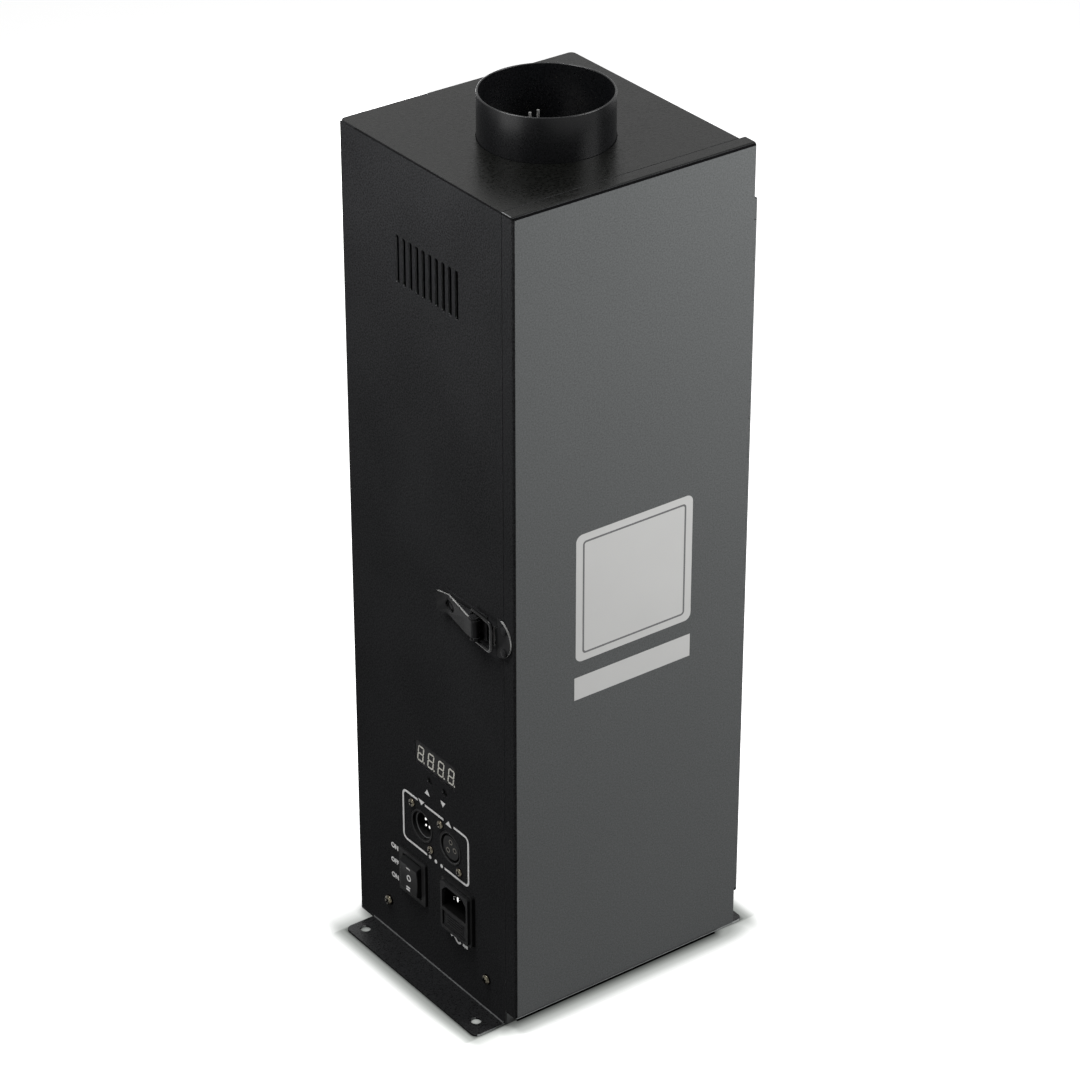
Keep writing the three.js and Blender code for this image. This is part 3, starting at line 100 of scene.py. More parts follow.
def add_node(nodes, kind, values=()):
    """A shader node of one kind, with values set on its inputs."""
    node = nodes.new("ShaderNode" + kind)
    for socket, value in dict(values).items():
        node.inputs[socket].default_value = value
    return node


def surface(name, color, rough, metal=0.0, specular=0.5, variation=0.12, variation_scale=9.0,
            grain=0.0, grain_scale=900.0, rough_spread=0.06, coat=0.0, brushed=None, speckle=0.0):
    """A Principled surface with mottled colour and roughness, and a fine bump.

    grain is the bump's height in metres. speckle is the grain's share of the colour's variation.
    """
    material, nodes, links = new_material(name)
    output = add_node(nodes, "OutputMaterial")
    shader = add_node(nodes, "BsdfPrincipled", {
        "Metallic": metal,
        "Specular IOR Level": specular,
        "Coat Weight": coat,
        "Coat Roughness": 0.1,
    })
    links.new(shader.outputs["BSDF"], output.inputs["Surface"])
    place = add_node(nodes, "TexCoord")

    mottle = add_node(nodes, "TexNoise", {"Scale": variation_scale, "Detail": 5})
    links.new(place.outputs["Object"], mottle.inputs["Vector"])
    grit = add_node(nodes, "TexNoise", {"Scale": grain_scale, "Detail": 3})
    blend = add_node(nodes, "Mix", {"Factor": speckle})
    links.new(mottle.outputs["Fac"], blend.inputs["A"])
    links.new(grit.outputs["Fac"], blend.inputs["B"])
    tint = add_node(nodes, "ValToRGB")
    for element, position, change in zip(tint.color_ramp.elements, (0.3, 0.7), (-1, 1)):
        element.position = position
        element.color = [c * (1 + change * variation) for c in color] + [1]
    links.new(blend.outputs["Result"], tint.inputs["Fac"])
    links.new(tint.outputs["Color"], shader.inputs["Base Color"])

    if brushed:
        stretch = add_node(nodes, "Mapping", {"Scale": brushed})
        links.new(place.outputs["Object"], stretch.inputs["Vector"])
        links.new(stretch.outputs["Vector"], grit.inputs["Vector"])
    else:
        links.new(place.outputs["Object"], grit.inputs["Vector"])
    gloss = add_node(nodes, "MapRange", {
        "From Min": 0.3,
        "From Max": 0.7,
        "To Min": max(rough - rough_spread, 0.02),
        "To Max": rough + rough_spread,
    })
    links.new(grit.outputs["Fac"], gloss.inputs["Value"])
    links.new(gloss.outputs["Result"], shader.inputs["Roughness"])
    if grain:
        bump = add_node(nodes, "Bump", {"Distance": grain, "Strength": 0.6})
        links.new(grit.outputs["Fac"], bump.inputs["Height"])
        links.new(bump.outputs["Normal"], shader.inputs["Normal"])
    return material


# What the surfaces of one kind share
COATED = {"variation_scale": 14, "grain_scale": 1100, "speckle": 0.8}
# What the surfaces of painted highlight share
PAINTED_HIGHLIGHT = {"specular": 0.1, "variation_scale": 60, "grain": 0.00004, "grain_scale": 1100}
DARK_STEEL = {"variation": 0.3, "variation_scale": 60, "grain": 0.00002, "grain_scale": 700}
FINE_METAL = {"metal": 1.0, "variation_scale": 200, "grain": 0.000005, "grain_scale": 1500}
DARK_PLASTIC = {"specular": 0.015, "variation": 0.2, "variation_scale": 80, "grain_scale": 2200}

CASING_PAINT = surface("casing_paint", (0.0186, 0.0189, 0.0197), 0.5, specular=0.0,
                       variation=0.6, grain=0.00006, **COATED)
FLANGE_PAINT = surface("flange_paint", (0.0165, 0.0168, 0.0176), 0.3, specular=0.17,
                       variation=0.6, grain=0.00006, **COATED)
# The black coat made grey where faces look to the front into the key light: painted light
FRONT_LIT_PAINT = surface("front_lit_paint", (0.118, 0.1225, 0.123), 0.45, specular=0.02, variation=0.22,
                     variation_scale=5, grain=0.00005, grain_scale=1100, speckle=0.85)
TOP_PAINT = surface("top_paint", (0.0012, 0.0013, 0.0011), 0.3, specular=0.16, variation=0.5,
                    variation_scale=14, grain=0.0001, grain_scale=620, speckle=0.8,
                    rough_spread=0.09)
COLLAR_PAINT = surface("collar_paint", (0.0016, 0.0017, 0.002), 0.3, specular=0.24,
                       variation=0.5, grain=0.00002, **COATED)
# Light grey painted highlight for the front edges of the flanges and the sill's left end, which
# catch the light
LIT_FRONT_EDGE = surface("painted_highlight_front_edge", (0.4, 0.415, 0.41), 0.45, variation=0.35,
                     speckle=0.4, **PAINTED_HIGHLIGHT)
# Painted highlight for thin light lines where folds and corners catch the light
EDGE_HIGHLIGHT_PAINT = surface("painted_highlight_edge", (0.085, 0.087, 0.088), 0.45, variation=0.35,
                     speckle=0.4, **PAINTED_HIGHLIGHT)
SHADE_PAINT = surface("shaded_paint", (0.004, 0.004, 0.0042), 0.5, specular=0.01,
                      variation=0.3, variation_scale=60, grain=0.00002, grain_scale=1100)
# Painted highlight along the door's bottom hem, where its bend catches the light
HEM_HIGHLIGHT = surface("painted_highlight_hem", (0.24, 0.25, 0.25), 0.45, variation=0.3, speckle=0.5,
                    **PAINTED_HIGHLIGHT)
INNER_PAINT = surface("inner_paint", (0.06, 0.061, 0.062), 0.5, specular=0.35,
                      grain=0.00005, grain_scale=1100, speckle=0.6)
BLACK_STEEL = surface("black_steel", (0.0158, 0.016, 0.0165), 0.32, specular=0.012,
                      **DARK_STEEL)
BLACK_WIRE = surface("black_wire", (0.008, 0.008, 0.0083), 0.22, specular=0.14, **DARK_STEEL)
# Painted highlight on the latch's steel edges that face up and to the front
STEEL_EDGE_HIGHLIGHT = surface("painted_highlight_steel_edge", (0.24, 0.24, 0.235), 0.4, specular=0.3, variation=0.3,
                    variation_scale=120, grain=0.00001, grain_scale=1200)
ZINC = surface("dark_zinc", (0.062, 0.056, 0.042), 0.2, metal=1.0, variation=0.4,
               variation_scale=300, grain=0.00001, grain_scale=1500)
GALVANISED = surface("galvanised", (0.5, 0.5, 0.48), 0.38, metal=1.0, variation=0.22,
                     variation_scale=45, grain=0.00001, grain_scale=900, brushed=(1, 12, 12))
BRIGHT = surface("bright_steel", (0.72, 0.72, 0.71), 0.18, variation=0.1, **FINE_METAL)
ROD_STEEL = surface("rod_steel", (0.34, 0.34, 0.33), 0.45, variation=0.15, **FINE_METAL)
BRASS = surface("brass", (0.7, 0.5, 0.2), 0.25, metal=1.0, variation=0.12,
                variation_scale=90, grain=0.000005, grain_scale=900)
BLACK_PLASTIC = surface("black_plastic", (0.0135, 0.0137, 0.014), 0.34, grain=0.000015,
                        **DARK_PLASTIC)
GREY_PLASTIC = surface("grey_plastic", (0.017, 0.0172, 0.0175), 0.42, grain=0.00002,
                       **DARK_PLASTIC)
# Black plastic made near black as painted shade in recesses: screw crosses, connector floors and
# bores, and the inlet's mouth
RECESS_SHADE_PLASTIC = surface("recess_shade_plastic", (0.004, 0.004, 0.004), 0.5, specular=0.02,
                       variation=0.1, variation_scale=80, grain=0.00001, grain_scale=2000)
# Black plastic made lighter on the connectors' thin rim chamfers: painted highlight
RIM_HIGHLIGHT_PLASTIC = surface("rim_highlight_plastic", (0.055, 0.056, 0.057), 0.3, specular=0.2, variation=0.2,
                      variation_scale=120, grain=0.00001, grain_scale=2200)
DISPLAY_FACE = surface("display_face", (0.008, 0.008, 0.0085), 0.2, specular=0.02,
                       variation=0.08, variation_scale=60, grain=0.000004, grain_scale=1500)
SEGMENT = surface("display_segment", (0.38, 0.37, 0.325), 0.35, variation=0.05,
                  variation_scale=200, grain=0.000004, grain_scale=2500)
INK = surface("white_ink", (0.52, 0.52, 0.515), 0.5, variation=0.06, variation_scale=150,
              grain=0.00001, grain_scale=1800)
LABEL_INK = surface("label_ink", (0.56, 0.56, 0.55), 0.5, variation=0.03, variation_scale=12,
                    grain=0.00002, grain_scale=1600)
KEYLINE_INK = surface("keyline_ink", (0.09, 0.09, 0.092), 0.45, variation=0.05,
                      variation_scale=20, grain=0.00002, grain_scale=1600)
CERAMIC = surface("ceramic", (0.8, 0.77, 0.7), 0.16, variation=0.05, variation_scale=80,
                  grain=0.000006, grain_scale=500, coat=0.4)
BOARD = surface("circuit_board", (0.02, 0.13, 0.06), 0.4, variation=0.25, variation_scale=160,
                grain=0.00002, grain_scale=500)
LEAD = surface("red_lead", (0.38, 0.03, 0.022), 0.42, variation=0.08, variation_scale=60,
               grain=0.00002, grain_scale=900)
COPPER = surface("copper", (0.75, 0.33, 0.14), 0.3, metal=1.0, variation=0.15,
                 variation_scale=300, grain=0.00002, grain_scale=1200, brushed=(1, 1, 30))
SOCKET_METAL = surface("socket_metal", (0.07, 0.065, 0.055), 0.4, variation=0.1,
                       **FINE_METAL)
FUSE_GLASS = surface("fuse_glass", (0.75, 0.8, 0.82), 0.08, specular=0.6, variation=0.04,
                     variation_scale=90, grain=0.000002, grain_scale=600, coat=0.5)


# Mesh tools: every piece is a stack of loops joined by faces

def circle(radius, w, u=0.0, v=0.0, count=48):
    angles = [2 * math.pi * i / count for i in range(count)]
    return [(u + radius * math.cos(a), v + radius * math.sin(a), w) for a in angles]


def rounded(width, height, radius, w, u=0.0, v=0.0, arc=6):
    loop = []
    corners = ((1, -1, -90), (1, 1, 0), (-1, 1, 90), (-1, -1, 180))
    for su, sv, start in corners:
        cu = u + su * (width / 2 - radius)
        cv = v + sv * (height / 2 - radius)
        for i in range(arc + 1):
            angle = math.radians(start + 90 * i / arc)
            loop.append((cu + radius * math.cos(angle), cv + radius * math.sin(angle), w))
    return loop


def loft(bm, loops, cap=True, closed=False):
    """Joins loops of equal length. cap closes both ends, closed joins last loop and first."""
    rows = [[bm.verts.new(p) for p in loop] for loop in loops]
    count = len(rows[0])
    pairs = list(zip(rows, rows[1:]))
    if closed:
        pairs.append((rows[-1], rows[0]))
    for low, high in pairs:
        for i in range(count):
            j = (i + 1) % count
            bm.faces.new((low[i], low[j], high[j], high[i]))
    if cap and not closed:
        bm.faces.new(list(reversed(rows[0])))
        bm.faces.new(rows[-1])


def turned(bm, profile, u=0.0, v=0.0, count=48, closed=False):
    loft(bm, [circle(r, w, u, v, count) for r, w in profile], cap=not closed, closed=closed)


def slab(bm, points, w0, w1):
    loft(bm, [[(u, v, w0) for u, v in points], [(u, v, w1) for u, v in points]])


def oblong(u0, u1, v0, v1):
    return [(u0, v0), (u1, v0), (u1, v1), (u0, v1)]


def brick(bm, u0, u1, v0, v1, w0, w1):
    slab(bm, oblong(u0, u1, v0, v1), w0, w1)


def ribbon(bm, path, width, w0, w1):
    """A flat strip of even width along a path of (u, v) points."""
    left, right = [], []
    for i, (u, v) in enumerate(path):
        before = Vector(path[max(i - 1, 0)])
        after = Vector(path[min(i + 1, len(path) - 1)])
        along = (after - before).normalized()
        side = Vector((-along.y, along.x)) * width / 2
        left.append((u + side.x, v + side.y))
        right.append((u - side.x, v - side.y))
    slab(bm, right + left[::-1], w0, w1)


def tube(bm, path, radius, count=14):
    """A round wire through (u, v, w) points."""
    points = [Vector(p) for p in path]
    loops = []
    side = None
    for i, point in enumerate(points):
        along = (points[min(i + 1, len(points) - 1)] - points[max(i - 1, 0)]).normalized()
        if side is None:
            side = along.orthogonal().normalized()
        side = (side - along * side.dot(along)).normalized()
        up = along.cross(side)
        loops.append([tuple(point + radius * (math.cos(a) * side + math.sin(a) * up))
                      for a in (2 * math.pi * k / count for k in range(count))])
    loft(bm, loops)


def arc_path(points, radii, steps=8):
    """Straight runs through points, with round corners of one radius or of one for each corner."""
    corners = [Vector(p) for p in points]
    if not isinstance(radii, tuple):
        radii = (radii,) * (len(points) - 2)
    path = [corners[0]]
    for before, corner, after, radius in zip(corners, corners[1:], corners[2:], radii):
        start = corner + (before - corner).normalized() * radius
        end = corner + (after - corner).normalized() * radius
        for i in range(steps + 1):
            t = i / steps
            path.append(start * (1 - t) ** 2 + corner * 2 * t * (1 - t) + end * t * t)
    path.append(corners[-1])
    return [tuple(p) for p in path]


def finish_mesh(obj, bevel, segments, angle):
    for polygon in obj.data.polygons:
        polygon.use_smooth = True
    if bevel:
        round_over = obj.modifiers.new("bevel", "BEVEL")
        round_over.width = bevel * MM
        round_over.segments = segments
        round_over.limit_method = "ANGLE"
        round_over.angle_limit = math.radians(angle)
        round_over.harden_normals = False
        round_over.miter_outer = "MITER_ARC"
    even = obj.modifiers.new("even_normals", "WEIGHTED_NORMAL")
    even.keep_sharp = True
    even.weight = 100


def mark_sharp(mesh, angle):
    bm = bmesh.new()
    bm.from_mesh(mesh)
    limit = math.radians(angle)
    for edge in bm.edges:
        edge.smooth = len(edge.link_faces) == 2 and edge.calc_face_angle(0) < limit
    bm.to_mesh(mesh)
    bm.free()


def piece(name, bm, material, body, place=UPRIGHT, stands_for=(),
          bevel=0.0, segments=2, angle=35):
    """Turns a bmesh in millimetres into a named object on a body."""
    bmesh.ops.recalc_face_normals(bm, faces=bm.faces)
    bm.transform(place)
    if place.determinant() < 0:
        bmesh.ops.reverse_faces(bm, faces=bm.faces)
    mesh = bpy.data.meshes.new(name)
    bm.to_mesh(mesh)
    bm.free()
    mesh.materials.append(material)
    mark_sharp(mesh, angle)
    obj = bpy.data.objects.new(name, mesh)
    bpy.context.collection.objects.link(obj)
    finish_mesh(obj, bevel, segments, angle)
    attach(obj, body)
    if stands_for:
        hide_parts(*stands_for)
    return obj


BODIES = frame["record"]["behaviour"]["bodies"]
BODY_OF = {node: body for body, nodes in BODIES.items() for node in nodes}


def paint_faces(mesh, chooses):
    """Gives each face the material that chooses(centre in mm, normal) returns."""
    mesh.materials.clear()
    for polygon in mesh.polygons:
        material = chooses(polygon.center / MM, polygon.normal)
        if material.name not in mesh.materials:
            mesh.materials.append(material)
        polygon.material_index = mesh.materials.find(material.name)


def refined(node, material, bevel):
    """Stands for a CAD node with the same shape, rounded edges and smooth curves."""
    source = frame["nodes"][node]
    bm = bmesh.new()
    bm.from_mesh(source.data)
    bmesh.ops.remove_doubles(bm, verts=bm.verts, dist=0.00001)
    bmesh.ops.dissolve_limit(bm, angle_limit=math.radians(1), verts=bm.verts, edges=bm.edges)
    bm.transform(source.matrix_world)
    bm.transform(UPRIGHT.inverted())
    piece(node + "_skin", bm, material, BODY_OF[node], UPRIGHT, (node,), bevel)


# Casing and door, in the CAD's shapes with rounded edges

for node, material, bevel in (
    ("side_panel_left", CASING_PAINT, 0.25),
    ("side_panel_right", CASING_PAINT, 0.25),
    ("rear_panel", CASING_PAINT, 0.25),
    ("top_plate", TOP_PAINT, 0.15),
    ("base_plate", CASING_PAINT, 0.3),
    ("door_panel", FRONT_LIT_PAINT, 0.25),
    ("can_shelf", INNER_PAINT, 0.25),
    ("lower_cover", INNER_PAINT, 0.25),
    ("hinge_leaf_casing", CASING_PAINT, 0.2),
    ("hinge_leaf_door", CASING_PAINT, 0.2),
    ("latch_base", BLACK_STEEL, 0.15),
    ("latch_lever", BLACK_STEEL, 0.2),
    ("latch_pin", BLACK_STEEL, 0.2),
    ("latch_keeper", BLACK_STEEL, 0.2),
    ("electrode_bracket", GALVANISED, 0.2),
    ("actuator_bracket", GALVANISED, 0.2),
    ("can_clip", GALVANISED, 0.2),
    ("ignition_module", BLACK_PLASTIC, 0.5),
    ("solenoid_plunger", BRIGHT, 0.25),
    ("control_board", BOARD, 0.1),
    ("power_supply", BOARD, 0.2),
):
    refined(node, material, bevel)


# Paint of the single faces: lit and shaded copies of the black coat and painted highlights, chosen
# by which way a face looks or where it sits

HINGE_AXIS = Vector((87.0, -78.1))
HINGE_SKIN = 2.6
SHEET_TOP = 3.0


def door_sheet_paint_at(centre, normal):
    # Up-facing faces take the top's near-black copy as painted shade, front-facing faces the grey
    # copy as painted light
    if normal.z > 0.9:
        return TOP_PAINT
    faces_down_front = normal.y < -0.3 and normal.z < -0.3
    return FRONT_LIT_PAINT if normal.y < -0.98 or faces_down_front else CASING_PAINT


def casing_paint_at(centre, normal):
    # Side panel faces that look to the front get the grey painted light
    return FRONT_LIT_PAINT if normal.y < -0.9 else CASING_PAINT


def base_paint_at(centre, normal):
    if normal.y < -0.9:
        # The flanges' front faces get the painted highlight
        return LIT_FRONT_EDGE if abs(centre.x) > HALF_WIDTH else CASING_PAINT
    return FLANGE_PAINT if normal.z > 0.5 and centre.z < SHEET_TOP else CASING_PAINT


def top_paint_at(centre, normal):
    return CASING_PAINT if abs(normal.z) < 0.5 else TOP_PAINT


def hinge_paint_at(centre, normal):
    # Knuckles at the door's front edge get the grey painted light
    return FRONT_LIT_PAINT if (centre.xy - HINGE_AXIS).length < HINGE_SKIN else CASING_PAINT


def keeper_paint_at(centre, normal):
    # The keeper's faces that look to the front get the painted highlight
    return STEEL_EDGE_HIGHLIGHT if normal.y < -0.25 and abs(normal.x) < 0.5 else BLACK_STEEL


for name, chooses in (
    ("door_panel", door_sheet_paint_at),
    ("top_plate", top_paint_at),
    ("base_plate", base_paint_at),
    ("side_panel_left", casing_paint_at),
    ("side_panel_right", casing_paint_at),
    ("hinge_leaf_casing", hinge_paint_at),
    ("hinge_leaf_door", hinge_paint_at),
    ("latch_keeper", keeper_paint_at),
):
    paint_faces(bpy.data.objects[name + "_skin"].data, chooses)

for node, material in (
    ("hinge_pin", BLACK_STEEL),
    ("fuse", FUSE_GLASS),
):
    frame["nodes"][node].data.materials.clear()
    frame["nodes"][node].data.materials.append(material)


# Painted highlights and painted shade along edges

BASE_FRONT = -11.85
TOP_V = 536.0
REAR_INSIDE = 80.54


def build_folds():
    """A painted highlight along the left flange's fold, and the folds inside the two rear corners.
    """
    bm = bmesh.new()
    corner = -HALF_WIDTH - 0.65
    slope = [(corner, 1.4), (corner + 0.7, 1.4), (corner + 0.7, 2.1), (corner + 0.6, 2.1)]
    loft(bm, [[(x, y, z) for x, z in slope] for y in (-69.4, 67.6)])
    piece("flange_fold_highlight", bm, EDGE_HIGHLIGHT_PAINT, "casing")
    for side, start, stop in (("left", -79.79, -79.1), ("right", 79.1, 79.79)):
        bm = bmesh.new()
        brick(bm, start, stop, REAR_INSIDE - 0.64, REAR_INSIDE, 2.0, TOP_V - 1.5)
        piece("rear_fold_" + side, bm, CASING_PAINT, "casing")


build_folds()

ON_CASING = ("casing", "black_powder_coat")
ON_DOOR = ("door", "grey_powder_coat")

# The light strips on the sill's end, the door's hem, the door's top corner and the flange fronts
# are painted highlights. The dark strips on the door's top bend, the top edges and the sill's foot
# are painted shade for gaps and edges in shadow.
# Each strip's outline, its lowest and highest w, and its frame
for name, material, (body, slot), outline, low, high, place in (
    ("sill_end_highlight", LIT_FRONT_EDGE, ON_CASING, oblong(-80.6, -71.5, 0.4, 7.6),
     BASE_FRONT - 0.01, BASE_FRONT + 0.1, DOOR),
    ("door_hem_highlight", HEM_HIGHLIGHT, ON_DOOR, oblong(-80.4, 84.4, 11.2, 11.7), -0.1, 0.03, DOOR),
    ("door_bend_shade", SHADE_PAINT, ON_DOOR,
     [(-80.7, TOP_V - 1.8), (84.8, TOP_V - 1.8), (84.5, TOP_V - 0.25), (-80.4, TOP_V - 0.25)],
     -0.1, 0.03, DOOR),
    ("top_shade_line", SHADE_PAINT, ON_CASING, oblong(-67.5, 71.2, TOP_V - 1.4, TOP_V - 0.3),
     -0.3, 0.03, CONTROL),
    ("door_shade_line", SHADE_PAINT, ON_DOOR, oblong(71.6, 81.4, TOP_V - 1.4, TOP_V - 0.3),
     -0.3, 0.03, CONTROL),
    ("door_corner_highlight", EDGE_HIGHLIGHT_PAINT, ON_DOOR, oblong(71.8, 80.0, TOP_V - 0.25, TOP_V + 0.05),
     -0.45, 0.02, CONTROL),
    ("sill_foot_shadow", SHADE_PAINT, ON_CASING, oblong(-72.2, 79.5, 0.05, 0.4),
     BASE_FRONT - 0.1, BASE_FRONT + 1.6, DOOR),
    ("flange_front_left", LIT_FRONT_EDGE, ON_CASING, oblong(-98.4, -80.8, 0.15, 1.35),
     BASE_FRONT - 0.1, BASE_FRONT + 0.07, DOOR),
    ("flange_front_right", LIT_FRONT_EDGE, ON_CASING, oblong(80.8, 98.4, 0.15, 1.35),
     BASE_FRONT - 0.1, BASE_FRONT + 0.07, DOOR),
):
    bm = bmesh.new()
    slab(bm, outline, low, high)
    piece(name, bm, material, body, place)


# Collar and what stands in it

COLLAR_X, COLLAR_Y = -2.0, -5.0
ELECTRODE_XS, ELECTRODE_Y = (-13.4, 4.6), 14.0


def build_collar():
    outer, wall, rim, top_under = 38.9, 1.2, 563.0, TOP_V - 1.2
    inner = outer - wall
    reach = outer + 6
    profile = [
        (inner, top_under - 6), (outer, top_under - 6), (outer, top_under - 1.5),
        (reach, top_under - 1.5), (reach, top_under - 0.3), (outer, top_under - 0.3),
        (outer, rim - 0.5), (outer - 0.12, rim - 0.14), (outer - 0.5, rim),
        (inner + 0.5, rim), (inner + 0.12, rim - 0.14), (inner, rim - 0.5),
    ]
    bm = bmesh.new()
    turned(bm, profile, COLLAR_X, COLLAR_Y, 144, closed=True)
    piece("collar_tube", bm, COLLAR_PAINT, "casing", UPRIGHT,
          ("collar",), angle=60)


build_collar()


def build_insulators():
    foot, ribs, rib_pitch = 509.5, 4, 3.4
    for i, x in enumerate(ELECTRODE_XS):
        profile = [(1.0, foot - 14), (3.7, foot - 14), (4.0, foot - 13.6), (4.0, foot),
                   (5.7, foot), (6.0, foot + 0.3), (6.0, foot + 2.2), (5.7, foot + 2.5),
                   (4.0, foot + 2.6)]
        for k in range(ribs):
            low = foot + 4 + k * rib_pitch
            radius = 3.9 - 0.25 * k
            profile += [(radius - 0.5, low), (radius, low + 0.8),
                        (radius, low + 1.6), (radius - 0.5, low + 2.4)]
        profile += [(2.8, foot + 19.4), (2.4, foot + 20), (1.0, foot + 20)]
        bm = bmesh.new()
        turned(bm, profile, x, ELECTRODE_Y, 32, closed=True)
        node = "insulator_%d" % (i + 1)
        piece(node + "_glaze", bm, CERAMIC, "casing", UPRIGHT, (node,), angle=50)


build_insulators()


def build_electrodes():
    foot, bend, tip_y, tip_z = 495.8, 533.2, 3.2, 548.0
    for i, (x, tip_x) in enumerate(zip(ELECTRODE_XS, (-7.2, -1.6))):
        bm = bmesh.new()
        path = [(x, ELECTRODE_Y, foot), (x, ELECTRODE_Y, bend),
                (tip_x, tip_y, tip_z - 4.6), (tip_x, tip_y, tip_z)]
        tube(bm, arc_path(path, 2.6), 0.8)
        node = "electrode_%d" % (i + 1)
        piece(node + "_rod", bm, ROD_STEEL, "casing", UPRIGHT, (node,), angle=50)


build_electrodes()


def build_leads():
    wall_x, start_z, end_z = 67, 372.3, 495.2
    runs = ((44, 482.9, 19.4), (24, 488.3, 14.0))
    for i, (x, (start_y, cross_z, cross_y)) in enumerate(zip(ELECTRODE_XS, runs)):
        bm = bmesh.new()
        path = [(wall_x, start_y, start_z), (wall_x, start_y, cross_z - 60),
                (wall_x, cross_y, cross_z), (x, ELECTRODE_Y, cross_z), (x, ELECTRODE_Y, end_z)]
        tube(bm, arc_path(path, 5.4), 1.75)
        node = "ignition_lead_%d" % (i + 1)
        piece(node + "_jacket", bm, LEAD, "casing", UPRIGHT, (node,), angle=60)


build_leads()


def build_nozzle():
    profile = [(1.5, 446), (3.7, 446), (4.0, 446.3), (4.0, 454.8), (6.2, 454.8), (6.5, 455.1),
               (6.5, 459.5), (6.2, 459.8), (4.0, 459.8), (4.0, 490), (2.6, 497.6), (2.3, 498),
               (1.5, 498)]
    bm = bmesh.new()
    turned(bm, profile, COLLAR_X, COLLAR_Y, 32, closed=True)
    piece("nozzle_turned", bm, BRASS, "plunger", UPRIGHT, ("nozzle",), angle=40)


build_nozzle()


def build_solenoid():
    x, y, base, height, half, sheet = -2.0, 46.0, 471.4, 22.0, 13.0, 2.0
    hole = 6.8
    bm = bmesh.new()
    for low in (base, base + height - sheet):
        high = low + sheet
        loops = [rounded(2 * half, 2 * half, 1.0, z, x, y, 4) for z in (low, high)]
        holes = [rounded(hole, hole, 3.39, z, x, y, 4) for z in (high, low)]
        loft(bm, loops + holes, closed=True)
    brick(bm, x - half, x + half, y - half, y - half + sheet, base + 2.05, base + height - 2.05)
    piece("solenoid_frame", bm, BLACK_STEEL, "casing", UPRIGHT,
          ("solenoid_body",), 0.2)
    bore, coil, turns = hole / 2, 10.6, 20
    pitch = (height - 4.6) / turns
    profile = [(bore, base + 2.1), (coil, base + 2.1)]
    for k in range(turns):
        z = base + 2.3 + k * pitch
        profile += [(coil, z), (coil + 0.3, z + pitch / 2)]
    profile += [(coil, base + height - 2.1), (bore, base + height - 2.1)]
    bm = bmesh.new()
    turned(bm, profile, x, y, 40, closed=True)
    piece("solenoid_coil", bm, COPPER, "casing", angle=20)


build_solenoid()


# Screws and rivets

CONNECTOR_US, CONNECTOR_V = (-13.3, 16.2), 98.5
LATCH_V = 271.0

# Radius and height of the head, radius and length of the shank
BASE_SCREW = (3.4, 2.3, 1.8, 7.5)
CONNECTOR_SCREW = (2.75, 1.6, 1.3, 6)


def screw_head(bm, u, v, w, size, turn):
    """Draws a pan head on a shank. Gives back its cross recess, in near-black painted shade, as a
    bmesh of its own.
    """
    head, height, shank, reach = size
    cross = []
    arm, half = head * 0.6, head * 0.19
    for k in range(4):
        a = math.radians(90 * k + turn)
        for cu, cv in ((half, half), (half, arm), (-half, arm)):
            cross.append((cu * math.cos(a) - cv * math.sin(a),
                          cu * math.sin(a) + cv * math.cos(a)))
    cross.sort(key=lambda p: math.atan2(p[1], p[0]))
    around = [math.atan2(p[1], p[0]) for p in cross]
    profile = [(shank, w - reach), (shank, w), (head * 0.96, w), (head, w + height * 0.12),
               (head * 0.985, w + height * 0.45), (head * 0.9, w + height * 0.72),
               (head * 0.76, w + height * 0.9), (head * 0.66, w + height * 0.97)]
    loft(bm, [circle(r, z, u, v, 36) for r, z in profile], cap=False)
    bm.faces.new([bm.verts.new(p) for p in circle(shank, w - reach, u, v, 36)])
    flat = head * 0.665
    rim = [(u + flat * math.cos(a), v + flat * math.sin(a), w + height * 0.975) for a in around]
    top = [(u + p[0], v + p[1], w + height) for p in cross]
    loft(bm, [rim, top], cap=False)
    recess = bmesh.new()
    floor = [(u + p[0] * 0.55, v + p[1] * 0.55, w + height * 0.35) for p in cross]
    loft(recess, [top, floor], cap=False)
    recess.faces.new([recess.verts.new(p) for p in floor])
    return recess


def screw(node, place, u, v, size, turn):
    bm = bmesh.new()
    recess = screw_head(bm, u, v, 0.1, size, turn)
    piece(node + "_head", bm, ZINC, "casing", place, (node,), angle=32)
    # The recess in near-black painted shade
    piece(node + "_recess", recess, RECESS_SHADE_PLASTIC, "casing", place, angle=32)


def build_screws():
    right_side = Matrix((
        (0, 0, MM, HALF_WIDTH * MM),
        (MM, 0, 0, 0),
        (0, MM, 0, 0),
        (0, 0, 0, 1),
    ))
    base = ((CONTROL, 53.0, 20), (CONTROL, -49.5, 55),
            (right_side, -53.0, 35), (right_side, 49.5, 70))
    for i, (place, u, turn) in enumerate(base):
        screw("base_screw_%d" % (i + 1), place, u, 24.2, BASE_SCREW, turn)
    corners = [(centre + side * 9.5, CONNECTOR_V - side * 12)
               for centre in CONNECTOR_US for side in (-1, 1)]
    for i, ((u, v), turn) in enumerate(zip(corners, (15, 60, 40, 80))):
        screw("connector_screw_%d" % (i + 1), CONTROL, u, v, CONNECTOR_SCREW, turn)


build_screws()


